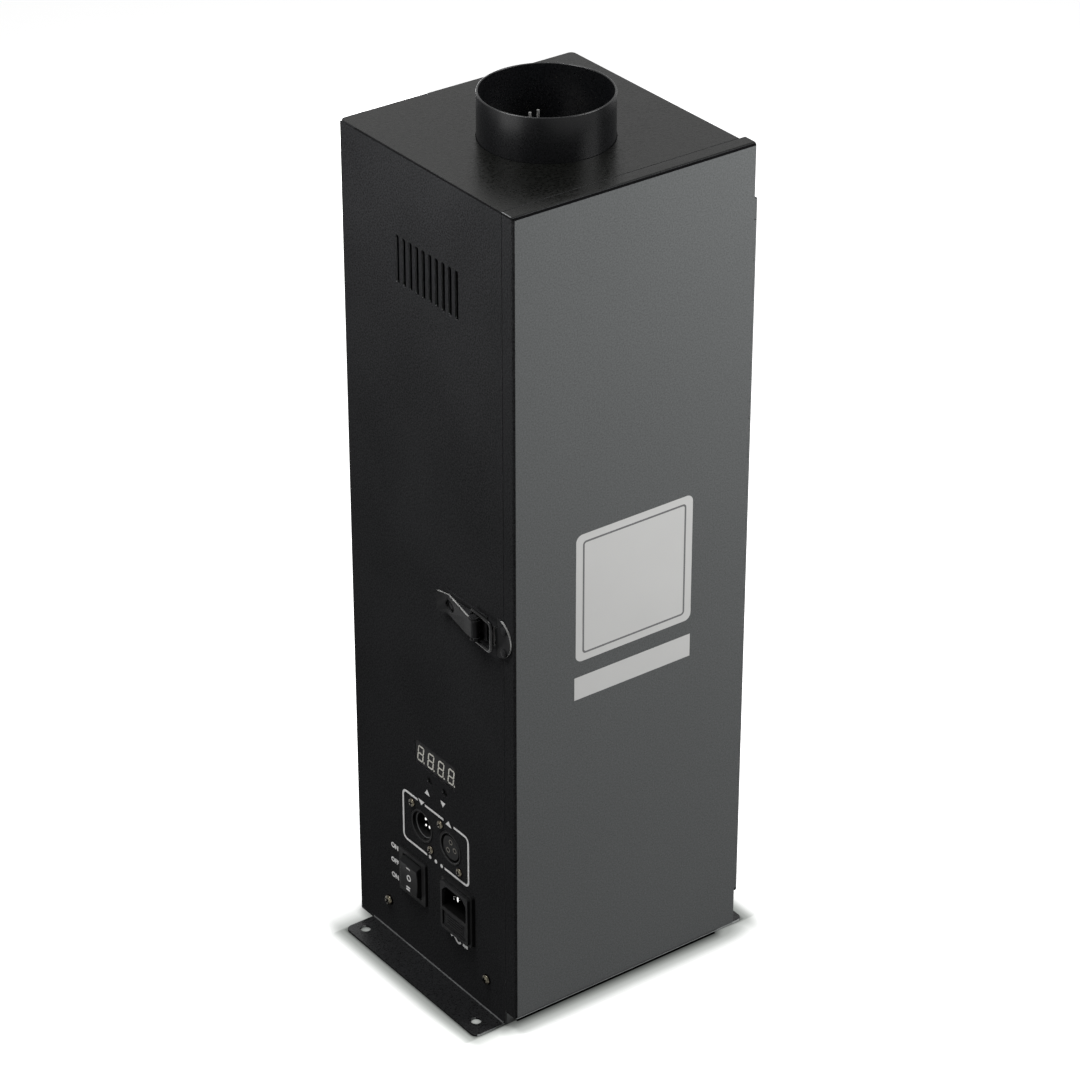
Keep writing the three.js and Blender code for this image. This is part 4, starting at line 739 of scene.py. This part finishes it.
def build_rivets():
    places = [("latch_rivet_1", 38.5, LATCH_V, 1.4, "casing"),
              ("latch_rivet_2", 24.0, LATCH_V, 1.4, "casing"),
              ("keeper_rivet_1", 74.0, LATCH_V - 7.25, 1.7, "door"),
              ("keeper_rivet_2", 74.0, LATCH_V + 7.25, 1.7, "door")]
    for node, u, v, w, body in places:
        bm = bmesh.new()
        turned(bm, [(1.3, w - 2.6), (1.3, w), (2.6, w), (2.58, w + 0.25), (2.35, w + 0.62),
                    (1.8, w + 0.95), (1.0, w + 1.12), (0.3, w + 1.16)], u, v, 32)
        piece(node + "_head", bm, BLACK_STEEL, body, CONTROL, (node,), angle=50)


build_rivets()


# Latch

def build_loop():
    back, back_w, front, front_w = 46.5, 3.8, 66.6, 5.0
    half, foot = 9.4, 4.1
    points = [(back, LATCH_V + foot, back_w), (back, LATCH_V + half, back_w),
              (front, LATCH_V + half, front_w), (front, LATCH_V - half, front_w),
              (back, LATCH_V - half, back_w), (back, LATCH_V - foot, back_w)]
    bm = bmesh.new()
    tube(bm, arc_path(points, (1.4, 4.0, 4.0, 1.4)), 1.1, 16)
    piece("latch_loop_wire", bm, BLACK_WIRE, "latch_loop", CONTROL,
          ("latch_loop",), angle=60)


build_loop()


def build_lever_edge():
    """A painted highlight along the upper edge of the lever's plate."""
    profile = [(13.0, 4.75), (21.0, 2.55), (47.8, 7.68),
               (47.8, 6.75), (21.0, 1.62), (13.0, 3.82)]
    bm = bmesh.new()
    loft(bm, [[(u, LATCH_V + v, w) for u, w in profile] for v in (6.2, 6.36)])
    piece("latch_lever_edge", bm, STEEL_EDGE_HIGHLIGHT, "latch_lever", CONTROL)


build_lever_edge()


# Display, with four unlit seven-segment digits, and its buttons

DIGITS_U, DIGITS_V = 1.5, 149.4
BUTTON_V = 135.0


def build_display():
    bm = bmesh.new()
    loft(bm, [rounded(41.4, 15.8, 0.5, w, 0.8, DIGITS_V + 0.5, 4) for w in (-7.6, -0.6)])
    piece("display_block", bm, DISPLAY_FACE, "casing", CONTROL,
          ("display_module",), 0.15)
    height, width, thick, lean = 11.0, 6.2, 1.0, math.tan(math.radians(8))
    pitch, gap, dot = 10.4, 0.14, 0.62
    w0, w1 = -0.62, -0.52
    bm = bmesh.new()

    def bar(u0, v0, u1, v1, cu):
        start, end = Vector((u0, v0)), Vector((u1, v1))
        along = (end - start).normalized()
        start += along * gap
        end -= along * gap
        side = Vector((-along.y, along.x)) * thick / 2
        points = [start, start + along * thick / 2 - side, end - along * thick / 2 - side, end,
                  end - along * thick / 2 + side, start + along * thick / 2 + side]
        slab(bm, [(cu + p.x + lean * p.y, DIGITS_V + p.y) for p in points], w0, w1)

    for k in range(4):
        cu = DIGITS_U + (k - 1.5) * pitch
        hu, hv = (width - thick) / 2, (height - thick) / 2
        bar(-hu, hv, hu, hv, cu)
        bar(-hu, 0, hu, 0, cu)
        bar(-hu, -hv, hu, -hv, cu)
        for su in (-hu, hu):
            bar(su, 0, su, hv, cu)
            bar(su, -hv, su, 0, cu)
        turned(bm, [(dot, w0), (dot, w1)], cu + hu + 1.35 - lean * hv, DIGITS_V - hv, 16)
    piece("display_digits", bm, SEGMENT, "casing", CONTROL)


build_display()


def build_buttons():
    # The caps wear the near-black painted shade of their holes
    for node, u in (("button_up", -4.75), ("button_down", 10.75)):
        bm = bmesh.new()
        turned(bm, [(1.9, -6.9), (1.9, -1.3), (1.78, -1.08), (1.5, -1.0), (0.5, -1.02)],
               u, BUTTON_V, 32)
        piece(node + "_cap", bm, SHADE_PAINT, node, CONTROL, (node,), angle=50)


build_buttons()


# Printed marks on the control side

INK_LOW, INK_HIGH = 0.005, 0.06


def build_marks():
    bm = bmesh.new()
    left, right, low, high = -32.8, 34.6, 80.4, 115.2
    corner = 3.6

    def area(points):
        slab(bm, points, INK_LOW, INK_HIGH)

    def line(path, width=1.5):
        ribbon(bm, path, width, INK_LOW, INK_HIGH)

    def bend(cu, cv, start):
        """A round corner, drawn clockwise, that ends in the direction start."""
        angles = [math.radians(start + 15 * k) for k in range(7)]
        return [(cu + corner * math.cos(a), cv + corner * math.sin(a)) for a in angles[::-1]]

    # The frame around both signal connectors, open where its marks stand
    north_east = bend(right - corner, high - corner, 0)
    south_east = bend(right - corner, low + corner, 270)
    south_west = bend(left + corner, low + corner, 180)
    north_west = bend(left + corner, high - corner, 90)
    line([(19.8, high)] + north_east + south_east + [(10.0, low)])
    line([(-8.4, low)] + south_west + north_west + [(-17.5, high)])
    line([(-9.8, high), (9.4, high)])
    # Arrow into the pin connector, arrow out of the socket connector, three dots for the signal
    area([(-16.7, high + 1.6), (-13.6, high - 1.9), (-10.5, high + 1.6)])
    area([(11.5, high - 1.8), (17.7, high - 1.8), (14.6, high + 1.7)])
    for u in (-5.2, 0.8, 6.8):
        turned(bm, [(1.3, INK_LOW), (1.3, INK_HIGH)], u, low, 20)
    # Up and down marks under the buttons
    area([(-9.8, 124.1), (-4.6, 124.1), (-7.2, 127.9)])
    area([(6.4, 127.7), (9.0, 123.9), (11.6, 127.7)])
    # Alternating current mark at the inlet
    line([(15.8 + 10.0 * k / 24, 35.0 + 1.5 * math.sin(2 * math.pi * k / 24)) for k in range(25)])
    line([(28.0, 35.0), (33.0, 35.0)], 2.2)
    piece("panel_marks", bm, INK, "casing", CONTROL)


build_marks()


WORDS_U = -39.3


def printed_word(name, word, v, size):
    """A word that ends at WORDS_U. The size is in mm, the curve's depth and offset in metres."""
    curve = bpy.data.curves.new(name, "FONT")
    curve.body = word
    curve.size = size * MM
    curve.extrude = 0.00003
    curve.align_x = "RIGHT"
    curve.align_y = "CENTER"
    curve.offset = 0.0002
    text = bpy.data.objects.new(name + "_curve", curve)
    bpy.context.collection.objects.link(text)
    bpy.context.view_layer.update()
    mesh = bpy.data.meshes.new_from_object(text)
    bpy.data.objects.remove(text)
    bm = bmesh.new()
    bm.from_mesh(mesh)
    bm.transform(Matrix.Translation((WORDS_U, v, 0.035)) @ Matrix.Scale(1 / MM, 4))
    piece(name, bm, INK, "casing", CONTROL)


printed_word("mark_on_top", "ON", 67.2, 4.7)
printed_word("mark_off", "OFF", 56.5, 4.4)
printed_word("mark_on_low", "ON", 45.4, 4.7)


# Signal connectors

def connector_shell(bm):
    """The barrel and flange that both connectors share, open at the front."""
    profile = [(10.5, -21), (10.9, -20.6), (10.9, -3.1), (11.0, -3.05), (11.0, -1.5),
               (11.0, -0.1), (10.95, 0.15), (10.7, 0.4), (10.0, 0.4), (9.7, 0.3), (9.5, 0.0),
               (9.5, -13.6)]
    turned(bm, profile, count=64)
    flange = [rounded(26, 31, 2.5, w, 0, 0, 15) for w in (-3.1, -1.5)]
    inner = [circle_like(11.02, w) for w in (-1.5, -3.1)]
    loft(bm, flange + inner, closed=True)


def circle_like(radius, w):
    """A circle of as many points as a rounded rectangle with 16 points a corner."""
    points = []
    for start in (-90, 0, 90, 180):
        for i in range(16):
            a = math.radians(start + 90 * i / 15)
            points.append((radius * math.cos(a), radius * math.sin(a), w))
    return points


PIN_CIRCLE = 4.0
PIN_PLACES = [(PIN_CIRCLE * math.cos(a), PIN_CIRCLE * math.sin(a))
              for a in map(math.radians, (90, 0, 225))]


def build_pin_connector():
    place = CONTROL @ Matrix.Translation((CONNECTOR_US[0], CONNECTOR_V, 0))
    bm = bmesh.new()
    connector_shell(bm)
    brick(bm, -1.2, 1.2, -9.6, -8.6, -13.5, -0.8)
    piece("connector_in_cup", bm, BLACK_PLASTIC, "casing", place,
          ("connector_in_shell",), angle=40)
    bm = bmesh.new()
    turned(bm, [(9.55, -13.2), (9.55, -1.7), (8.35, -1.7), (8.0, -2.0), (8.0, -13.2)],
           count=64, closed=True)
    piece("connector_in_sleeve", bm, BLACK_PLASTIC, "casing", place, angle=30)
    # Thin rims in painted highlight
    bm = bmesh.new()
    for low, high, w in ((9.58, 9.86, 0.33), (8.02, 8.34, -1.72)):
        turned(bm, [(low, w - 0.3), (high, w), (high, w + 0.06), (low, w - 0.22)],
               count=64, closed=True)
    piece("connector_in_rims", bm, RIM_HIGHLIGHT_PLASTIC, "casing", place, angle=30)
    # Floor of the cup in near-black painted shade
    bm = bmesh.new()
    turned(bm, [(9.2, -13.9), (9.2, -13.3), (8.8, -13.1), (0.2, -13.1)])
    piece("connector_in_floor", bm, RECESS_SHADE_PLASTIC, "casing", place, angle=40)
    for i, ((u, v), tip) in enumerate(zip(PIN_PLACES, (-2.4, -2.4, -4.4))):
        bm = bmesh.new()
        turned(bm, [(1.2, -25), (1.2, tip - 0.8), (1.05, tip - 0.35), (0.7, tip - 0.05),
                    (0.2, tip)], u, v, 24)
        node = "connector_in_pin_%d" % (i + 1)
        piece(node + "_bright", bm, BRIGHT, "casing", place, (node,), angle=50)


build_pin_connector()


def build_socket_connector():
    place = CONTROL @ Matrix.Translation((CONNECTOR_US[1], CONNECTOR_V, 0))
    bm = bmesh.new()
    connector_shell(bm)
    piece("connector_out_ring", bm, BLACK_PLASTIC, "casing", place,
          ("connector_out_shell",), angle=40)
    bm = bmesh.new()
    turned(bm, [(8.2, -13.4), (8.2, -0.7), (8.0, -0.4), (7.6, -0.3), (0.2, -0.3)], count=64)
    brick(bm, -1.4, 1.4, 8.0, 9.4, -12, -1.0)
    piece("connector_out_core", bm, BLACK_PLASTIC, "casing", place, angle=40)
    # Thin rim in painted highlight
    bm = bmesh.new()
    turned(bm, [(9.55, 0.03), (9.85, 0.33), (9.85, 0.39), (9.55, 0.11)], count=64, closed=True)
    piece("connector_out_rim", bm, RIM_HIGHLIGHT_PLASTIC, "casing", place, angle=30)
    bm = bmesh.new()
    for u, v in PIN_PLACES:
        turned(bm, [(1.75, -0.32), (1.75, -0.2), (1.25, -0.2), (1.25, -0.32)], u, v, 24,
               closed=True)
    piece("connector_out_sockets", bm, SOCKET_METAL, "casing", place, angle=40)
    # Bores in near-black painted shade
    bm = bmesh.new()
    for u, v in PIN_PLACES:
        turned(bm, [(1.25, -0.4), (1.25, -0.24)], u, v, 24)
    piece("connector_out_bores", bm, RECESS_SHADE_PLASTIC, "casing", place, angle=40)


build_socket_connector()


# Rocker switch

ROCKER_U, ROCKER_V, ROCKER_W = -22.3, 57.1, -2.4
ROCKER_REACH, ROCKER_HALF, ROCKER_FOOT = 11.9, 9.0, 4.2
ROCKER_TIP, ROCKER_MIDDLE = 7.5, 6.65
ROCKER_TIP_V = math.sqrt(ROCKER_REACH ** 2 - ROCKER_TIP ** 2)


def rocker_face(v):
    """The height of the paddle's hollow face above its pivot."""
    return ROCKER_MIDDLE + (ROCKER_TIP - ROCKER_MIDDLE) * (v / ROCKER_TIP_V) ** 2


def build_rocker():
    place = CONTROL @ Matrix.Translation((ROCKER_U, ROCKER_V, 0))
    bm = bmesh.new()
    sections = ((23, 27, 0.3, -22), (23, 27, 0.3, 0.2), (28, 31, 1.2, 0.2), (28, 31, 1.2, 1.3),
                (27.4, 30.4, 1.0, 1.8), (19.4, 25.2, 0.5, 1.8), (18.8, 24.6, 0.3, 1.4),
                (18.8, 24.6, 0.3, -9))
    loft(bm, [rounded(*section, arc=5) for section in sections])
    for row in (-1, 0, 1):
        brick(bm, -2.5, 2.5, row * 7.5 - 0.4, row * 7.5 + 0.4, -29, -21.9)
    piece("rocker_bezel", bm, BLACK_PLASTIC, "casing", place,
          ("rocker_housing",), 0.12)

    foot_v = math.sqrt(ROCKER_REACH ** 2 - ROCKER_FOOT ** 2)
    start, end = math.atan2(-ROCKER_FOOT, foot_v), math.atan2(ROCKER_TIP, ROCKER_TIP_V)
    angles = [start + (end - start) * k / 12 for k in range(13)]
    side = [(ROCKER_REACH * math.cos(a), ROCKER_REACH * math.sin(a)) for a in angles]
    across = [ROCKER_TIP_V * (1 - k / 10) for k in range(1, 20)]
    face = [(v, rocker_face(v)) for v in across]
    profile = side + face + [(-v, w) for v, w in side[::-1]]
    swing = CONTROL @ Matrix.Translation((ROCKER_U, ROCKER_V, ROCKER_W))
    bm = bmesh.new()
    loft(bm, [[(u, v, w) for v, w in profile] for u in (-ROCKER_HALF, ROCKER_HALF)])
    piece("rocker_paddle", bm, BLACK_PLASTIC, "rocker", swing,
          ("rocker",), bevel=0.35, segments=3, angle=18)

    bm = bmesh.new()
    low, high = 0.02, 0.1
    brick(bm, -1.9, 1.9, 6.4, 7.4, low, high)
    turned(bm, [(2.2, low), (2.2, high), (1.25, high), (1.25, low)], 0.0, -0.2, 28, closed=True)
    brick(bm, -1.9, 1.9, -7.15, -6.25, low, high)
    brick(bm, -1.9, 1.9, -8.65, -7.75, low, high)
    for vert in bm.verts:
        vert.co.z += rocker_face(vert.co.y)
    piece("rocker_marks", bm, INK, "rocker", swing)


build_rocker()


# Mains inlet and fuse drawer

INLET_U, INLET_V = 25.4, 58.5
MOUTH_LIFT, DRAWER_DROP = 6.6, 9.2
MOUTH_BACK = -10.4


def cavity_loop(width, height, chamfer, w, v):
    """A mouth with its two upper corners cut off."""
    hw, hh = width / 2, height / 2
    return [(-hw, v - hh, w), (hw, v - hh, w), (hw, v + hh - chamfer, w), (hw - chamfer, v + hh, w),
            (chamfer - hw, v + hh, w), (-hw, v + hh - chamfer, w)]


def frame_between(bm, loops, back):
    """A flat face between an outer loop and the openings in it, with walls down to a back plane."""
    rims = [[bm.verts.new(p) for p in loop] for loop in loops]
    edges = [bm.edges.new((a, b)) for rim in rims for a, b in zip(rim, rim[1:] + rim[:1])]
    bmesh.ops.triangle_fill(bm, use_beauty=True, use_dissolve=False, edges=edges)
    for rim in rims:
        low = [bm.verts.new((p.co.x, p.co.y, back)) for p in rim]
        for i in range(len(rim)):
            j = (i + 1) % len(rim)
            bm.faces.new((low[i], low[j], rim[j], rim[i]))


def build_inlet():
    place = CONTROL @ Matrix.Translation((INLET_U, INLET_V, 0))
    bm = bmesh.new()
    sections = ((27, 33.4, 0.5, -20), (27, 33.4, 0.5, 0.2), (31, 37, 2.0, 0.2),
                (31, 37, 2.0, 2.3), (30.2, 36.2, 1.8, 2.8), (28, 34, 2.0, 2.8))
    loops = [rounded(*section) for section in sections]
    loft(bm, loops, cap=False)
    bm.faces.new([bm.verts.new(p) for p in loops[0][::-1]])
    piece("inlet_flange", bm, BLACK_PLASTIC, "casing", place,
          ("inlet_housing",), angle=30)

    bm = bmesh.new()
    front = 4.6
    frame_between(bm, [rounded(28, 34, 2.0, front),
                       cavity_loop(24.4, 16, 4.0, front, MOUTH_LIFT),
                       rounded(23.9, 11.2, 0.4, front, 0, -DRAWER_DROP, 3)], 2.7)
    piece("inlet_frame", bm, GREY_PLASTIC, "casing", place,
          bevel=0.25, angle=60)

    # Mouth in near-black painted shade
    bm = bmesh.new()
    walls = [cavity_loop(24.4, 16, 4.0, w, MOUTH_LIFT) for w in (MOUTH_BACK, 2.72)]
    outer = [cavity_loop(25.4, 17, 4.2, w, MOUTH_LIFT) for w in (2.72, MOUTH_BACK)]
    loft(bm, walls + outer, closed=True)
    brick(bm, -12.6, 12.6, MOUTH_LIFT - 8.4, MOUTH_LIFT + 8.4, MOUTH_BACK - 0.6, MOUTH_BACK)
    brick(bm, -12.3, 12.3, MOUTH_LIFT - 7.95, MOUTH_LIFT - 7.5, MOUTH_BACK, 4.2)
    piece("inlet_mouth", bm, RECESS_SHADE_PLASTIC, "casing", place, angle=30)

    for node, u, v, tip in (
        ("inlet_pin_earth", 0.0, 8.6, 1.6),
        ("inlet_pin_live", -7.0, 4.6, -0.6),
        ("inlet_pin_neutral", 7.0, 4.6, -0.6),
    ):
        bm = bmesh.new()
        loft(bm, [rounded(2, 4, 0.3, -27, u, v, 3), rounded(2, 4, 0.3, tip - 0.7, u, v, 3),
                  rounded(1.5, 3.3, 0.3, tip, u, v, 3)])
        piece(node + "_blade", bm, BRIGHT, "casing", place, (node,), angle=40)


build_inlet()


def build_drawer():
    place = CONTROL @ Matrix.Translation((INLET_U, INLET_V - DRAWER_DROP, 0))
    half, edge, rib_low, rib_high = 11.7, 5.4, 3.5, 4.0
    bm = bmesh.new()
    brick(bm, -half, half, -edge, edge, 1.6, 3.55)
    for row in range(4):
        v = 2.7 - row * 1.8
        brick(bm, -8.6, 8.6, v - 0.4, v + 0.4, rib_low, rib_high)
    brick(bm, -half, half, edge - 0.7, edge, rib_low, rib_high)
    brick(bm, -half, half, -edge, -edge + 0.7, rib_low, rib_high)
    piece("fuse_drawer_face", bm, GREY_PLASTIC, "fuse_drawer", place,
          bevel=0.18)
    bm = bmesh.new()
    for u0, u1 in ((-half, -10.3), (10.3, half)):
        brick(bm, u0, u1, -5.35, 5.35, -13, 2.25)
    brick(bm, -10.35, 10.35, -5.35, -4.0, -13, 2.25)
    brick(bm, -10.35, 10.35, -4.05, 5.3, -13, -11.6)
    piece("fuse_drawer_tray", bm, BLACK_PLASTIC, "fuse_drawer", place,
          ("fuse_drawer",), 0.15)
    bm = bmesh.new()
    across = Matrix.Translation((0, -0.95, -1.45)) @ Matrix.Rotation(math.radians(90), 4, "Y")
    for side in (-1, 1):
        low, high = sorted((side * 9.55, side * 5.4))
        turned(bm, [(2.6, low), (2.82, low + 0.25), (2.82, high - 0.1), (2.6, high)], count=32)
    bm.transform(across)
    piece("fuse_caps", bm, ZINC, "fuse_drawer", place, angle=40)


build_drawer()


# Plain patch and bar on the door

PATCH_U, PATCH_V = 3.95, 286.2


def build_door_marks():
    bm = bmesh.new()
    loft(bm, [rounded(83.5, 83.3, 4.5, w, PATCH_U, PATCH_V, 10) for w in (0.005, 0.07)])
    brick(bm, -38.6, 45.6, 219.5, 234.5, 0.005, 0.07)
    piece("door_patch", bm, LABEL_INK, "door", DOOR)
    bm = bmesh.new()
    outer = [rounded(74, 74, 2.5, w, PATCH_U, PATCH_V, 10) for w in (0.06, 0.1)]
    inner = [rounded(71.6, 71.6, 1.5, w, PATCH_U, PATCH_V, 10) for w in (0.1, 0.06)]
    loft(bm, outer + inner, closed=True)
    piece("door_keyline", bm, KEYLINE_INK, "door", DOOR)


build_door_marks()


# Floor, light and background

SOFT_LIGHT = 0.06
FLOOR_GLOW = 0.8
PLAIN_FLOOR = 0.18
CONTACT_REACH = 0.007


def math_node(nodes, links, operation, first, second=None):
    node = add_node(nodes, "Math")
    node.operation = operation
    for socket, value in zip(node.inputs, (first, second)):
        if isinstance(value, bpy.types.NodeSocket):
            links.new(value, socket)
        elif value is not None:
            socket.default_value = value
    return node.outputs["Value"]


def background_strength(nodes, links):
    """A factor that is 1 for what the camera, mirrors and glass see."""
    path = add_node(nodes, "LightPath")
    seen = math_node(nodes, links, "MAXIMUM", path.outputs["Is Camera Ray"],
                     path.outputs["Is Glossy Ray"])
    return math_node(nodes, links, "MAXIMUM", seen, path.outputs["Is Transmission Ray"])


def build_world():
    world = bpy.data.worlds.new("studio")
    world.use_nodes = True
    nodes, links = world.node_tree.nodes, world.node_tree.links
    nodes.clear()
    output = add_node(nodes, "OutputWorld")
    mix = add_node(nodes, "MixShader")
    light = add_node(nodes, "Background", {"Color": grey(1), "Strength": SOFT_LIGHT})
    white = add_node(nodes, "Background", {"Color": grey(1), "Strength": 1.0})
    links.new(background_strength(nodes, links), mix.inputs["Fac"])
    links.new(light.outputs["Background"], mix.inputs[1])
    links.new(white.outputs["Background"], mix.inputs[2])
    links.new(mix.outputs["Shader"], output.inputs["Surface"])
    bpy.context.scene.world = world


# Middle, half size, stretch and first quick rise of the painted shadow around flanges and door, in
# metres
FLANGE_PRINT = ((0.0, -0.0009), (0.1025, 0.069), (0.88, 2.0), (0.0, 0.005))
DOOR_PRINT = ((0.005, -0.00175), (0.075, 0.06975), (2.6, 1.3), (0.0, 0.0))
SHADE_REACH = 0.024
# Floor colour of the painted shadow, from the footprint's outline to the shadow's end
SHADE = ((0.0, 0.15), (0.06, 0.21), (0.1, 0.245), (0.17, 0.262), (0.3, 0.385), (0.4, 0.53),
         (0.5, 0.66), (0.6, 0.78), (0.75, 0.9), (1.0, 1.0))
SHADE_TINT = 1.03


def print_distance(nodes, links, split, middles, halves, stretches, rises):
    """How far a point of the floor is from a rectangle's outline, below 0 inside it."""
    def step(operation, first, second=None):
        return math_node(nodes, links, operation, first, second)

    past = []
    for axis, middle, half, stretch, rise in zip("XY", middles, halves, stretches, rises):
        off = step("ABSOLUTE", step("SUBTRACT", split.outputs[axis], middle))
        out = step("SUBTRACT", off, half)
        quick = step("MINIMUM", step("MULTIPLY", step("MAXIMUM", out, 0.0), 3.0), rise)
        past.append(step("ADD", step("DIVIDE", out, stretch), quick))
    beyond = [step("POWER", step("MAXIMUM", p, 0.0), 2.0) for p in past]
    outside = step("SQRT", step("ADD", *beyond))
    inside = step("MINIMUM", step("MAXIMUM", *past), 0.0)
    return step("ADD", outside, inside)


def shade_distance(nodes, links):
    place = add_node(nodes, "TexCoord")
    split = add_node(nodes, "SeparateXYZ")
    links.new(place.outputs["Object"], split.inputs["Vector"])
    flange = math_node(nodes, links, "ABSOLUTE", print_distance(nodes, links, split, *FLANGE_PRINT))
    door = math_node(nodes, links, "MAXIMUM", print_distance(nodes, links, split, *DOOR_PRINT), 0.0)
    return math_node(nodes, links, "MINIMUM", flange, door)


# White floor with a contact shadow painted into its colour by the distance from the footprint,
# darkened more by an ambient occlusion node near parts
def build_floor():
    bm = bmesh.new()
    bmesh.ops.create_grid(bm, x_segments=1, y_segments=1, size=6)
    mesh = bpy.data.meshes.new("floor")
    bm.to_mesh(mesh)
    bm.free()
    material, nodes, links = new_material("floor_painted_shadow")
    output = add_node(nodes, "OutputMaterial")
    shade = add_node(nodes, "ValToRGB")
    for position, value in SHADE[1:-1]:
        shade.color_ramp.elements.new(position)
    for element, (position, value) in zip(shade.color_ramp.elements, SHADE):
        element.position = position
        element.color = (value ** SHADE_TINT, value, value ** SHADE_TINT, 1)
    links.new(math_node(nodes, links, "DIVIDE", shade_distance(nodes, links), SHADE_REACH),
              shade.inputs["Fac"])
    near = add_node(nodes, "AmbientOcclusion", {"Distance": CONTACT_REACH})
    near.samples = 16
    links.new(shade.outputs["Color"], near.inputs["Color"])
    white = add_node(nodes, "BsdfDiffuse")
    links.new(near.outputs["Color"], white.inputs["Color"])
    glow = add_node(nodes, "Emission", {"Strength": FLOOR_GLOW})
    links.new(near.outputs["Color"], glow.inputs["Color"])
    both = add_node(nodes, "AddShader")
    links.new(white.outputs["BSDF"], both.inputs[0])
    links.new(glow.outputs["Emission"], both.inputs[1])
    plain = add_node(nodes, "BsdfDiffuse", {"Color": grey(PLAIN_FLOOR)})
    mix = add_node(nodes, "MixShader")
    links.new(background_strength(nodes, links), mix.inputs["Fac"])
    links.new(plain.outputs["BSDF"], mix.inputs[1])
    links.new(both.outputs["Shader"], mix.inputs[2])
    links.new(mix.outputs["Shader"], output.inputs["Surface"])
    mesh.materials.append(material)
    floor = bpy.data.objects.new("floor", mesh)
    bpy.context.collection.objects.link(floor)


def area_light(name, place, target, size, power):
    data = bpy.data.lights.new(name, "AREA")
    data.energy = power
    data.size = size
    light = bpy.data.objects.new(name, data)
    light.location = place
    light.rotation_euler = (Vector(place) - Vector(target)).to_track_quat("Z", "Y").to_euler()
    bpy.context.collection.objects.link(light)


build_world()
build_floor()
area_light("key", (0.48, -0.6, 1.0), (0, 0, 0.38), 0.45, 13.8)
area_light("side", (-0.3, 0.05, 0.84), (-0.08, 0, 0.4), 0.25, 4.5)
area_light("fill", (-1.2, 0.1, 0.3), (-0.08, 0, 0.25), 0.8, 5.0)
area_light("back", (0.5, 1.2, 0.2), (0, 0, 0.27), 0.6, 5.0)
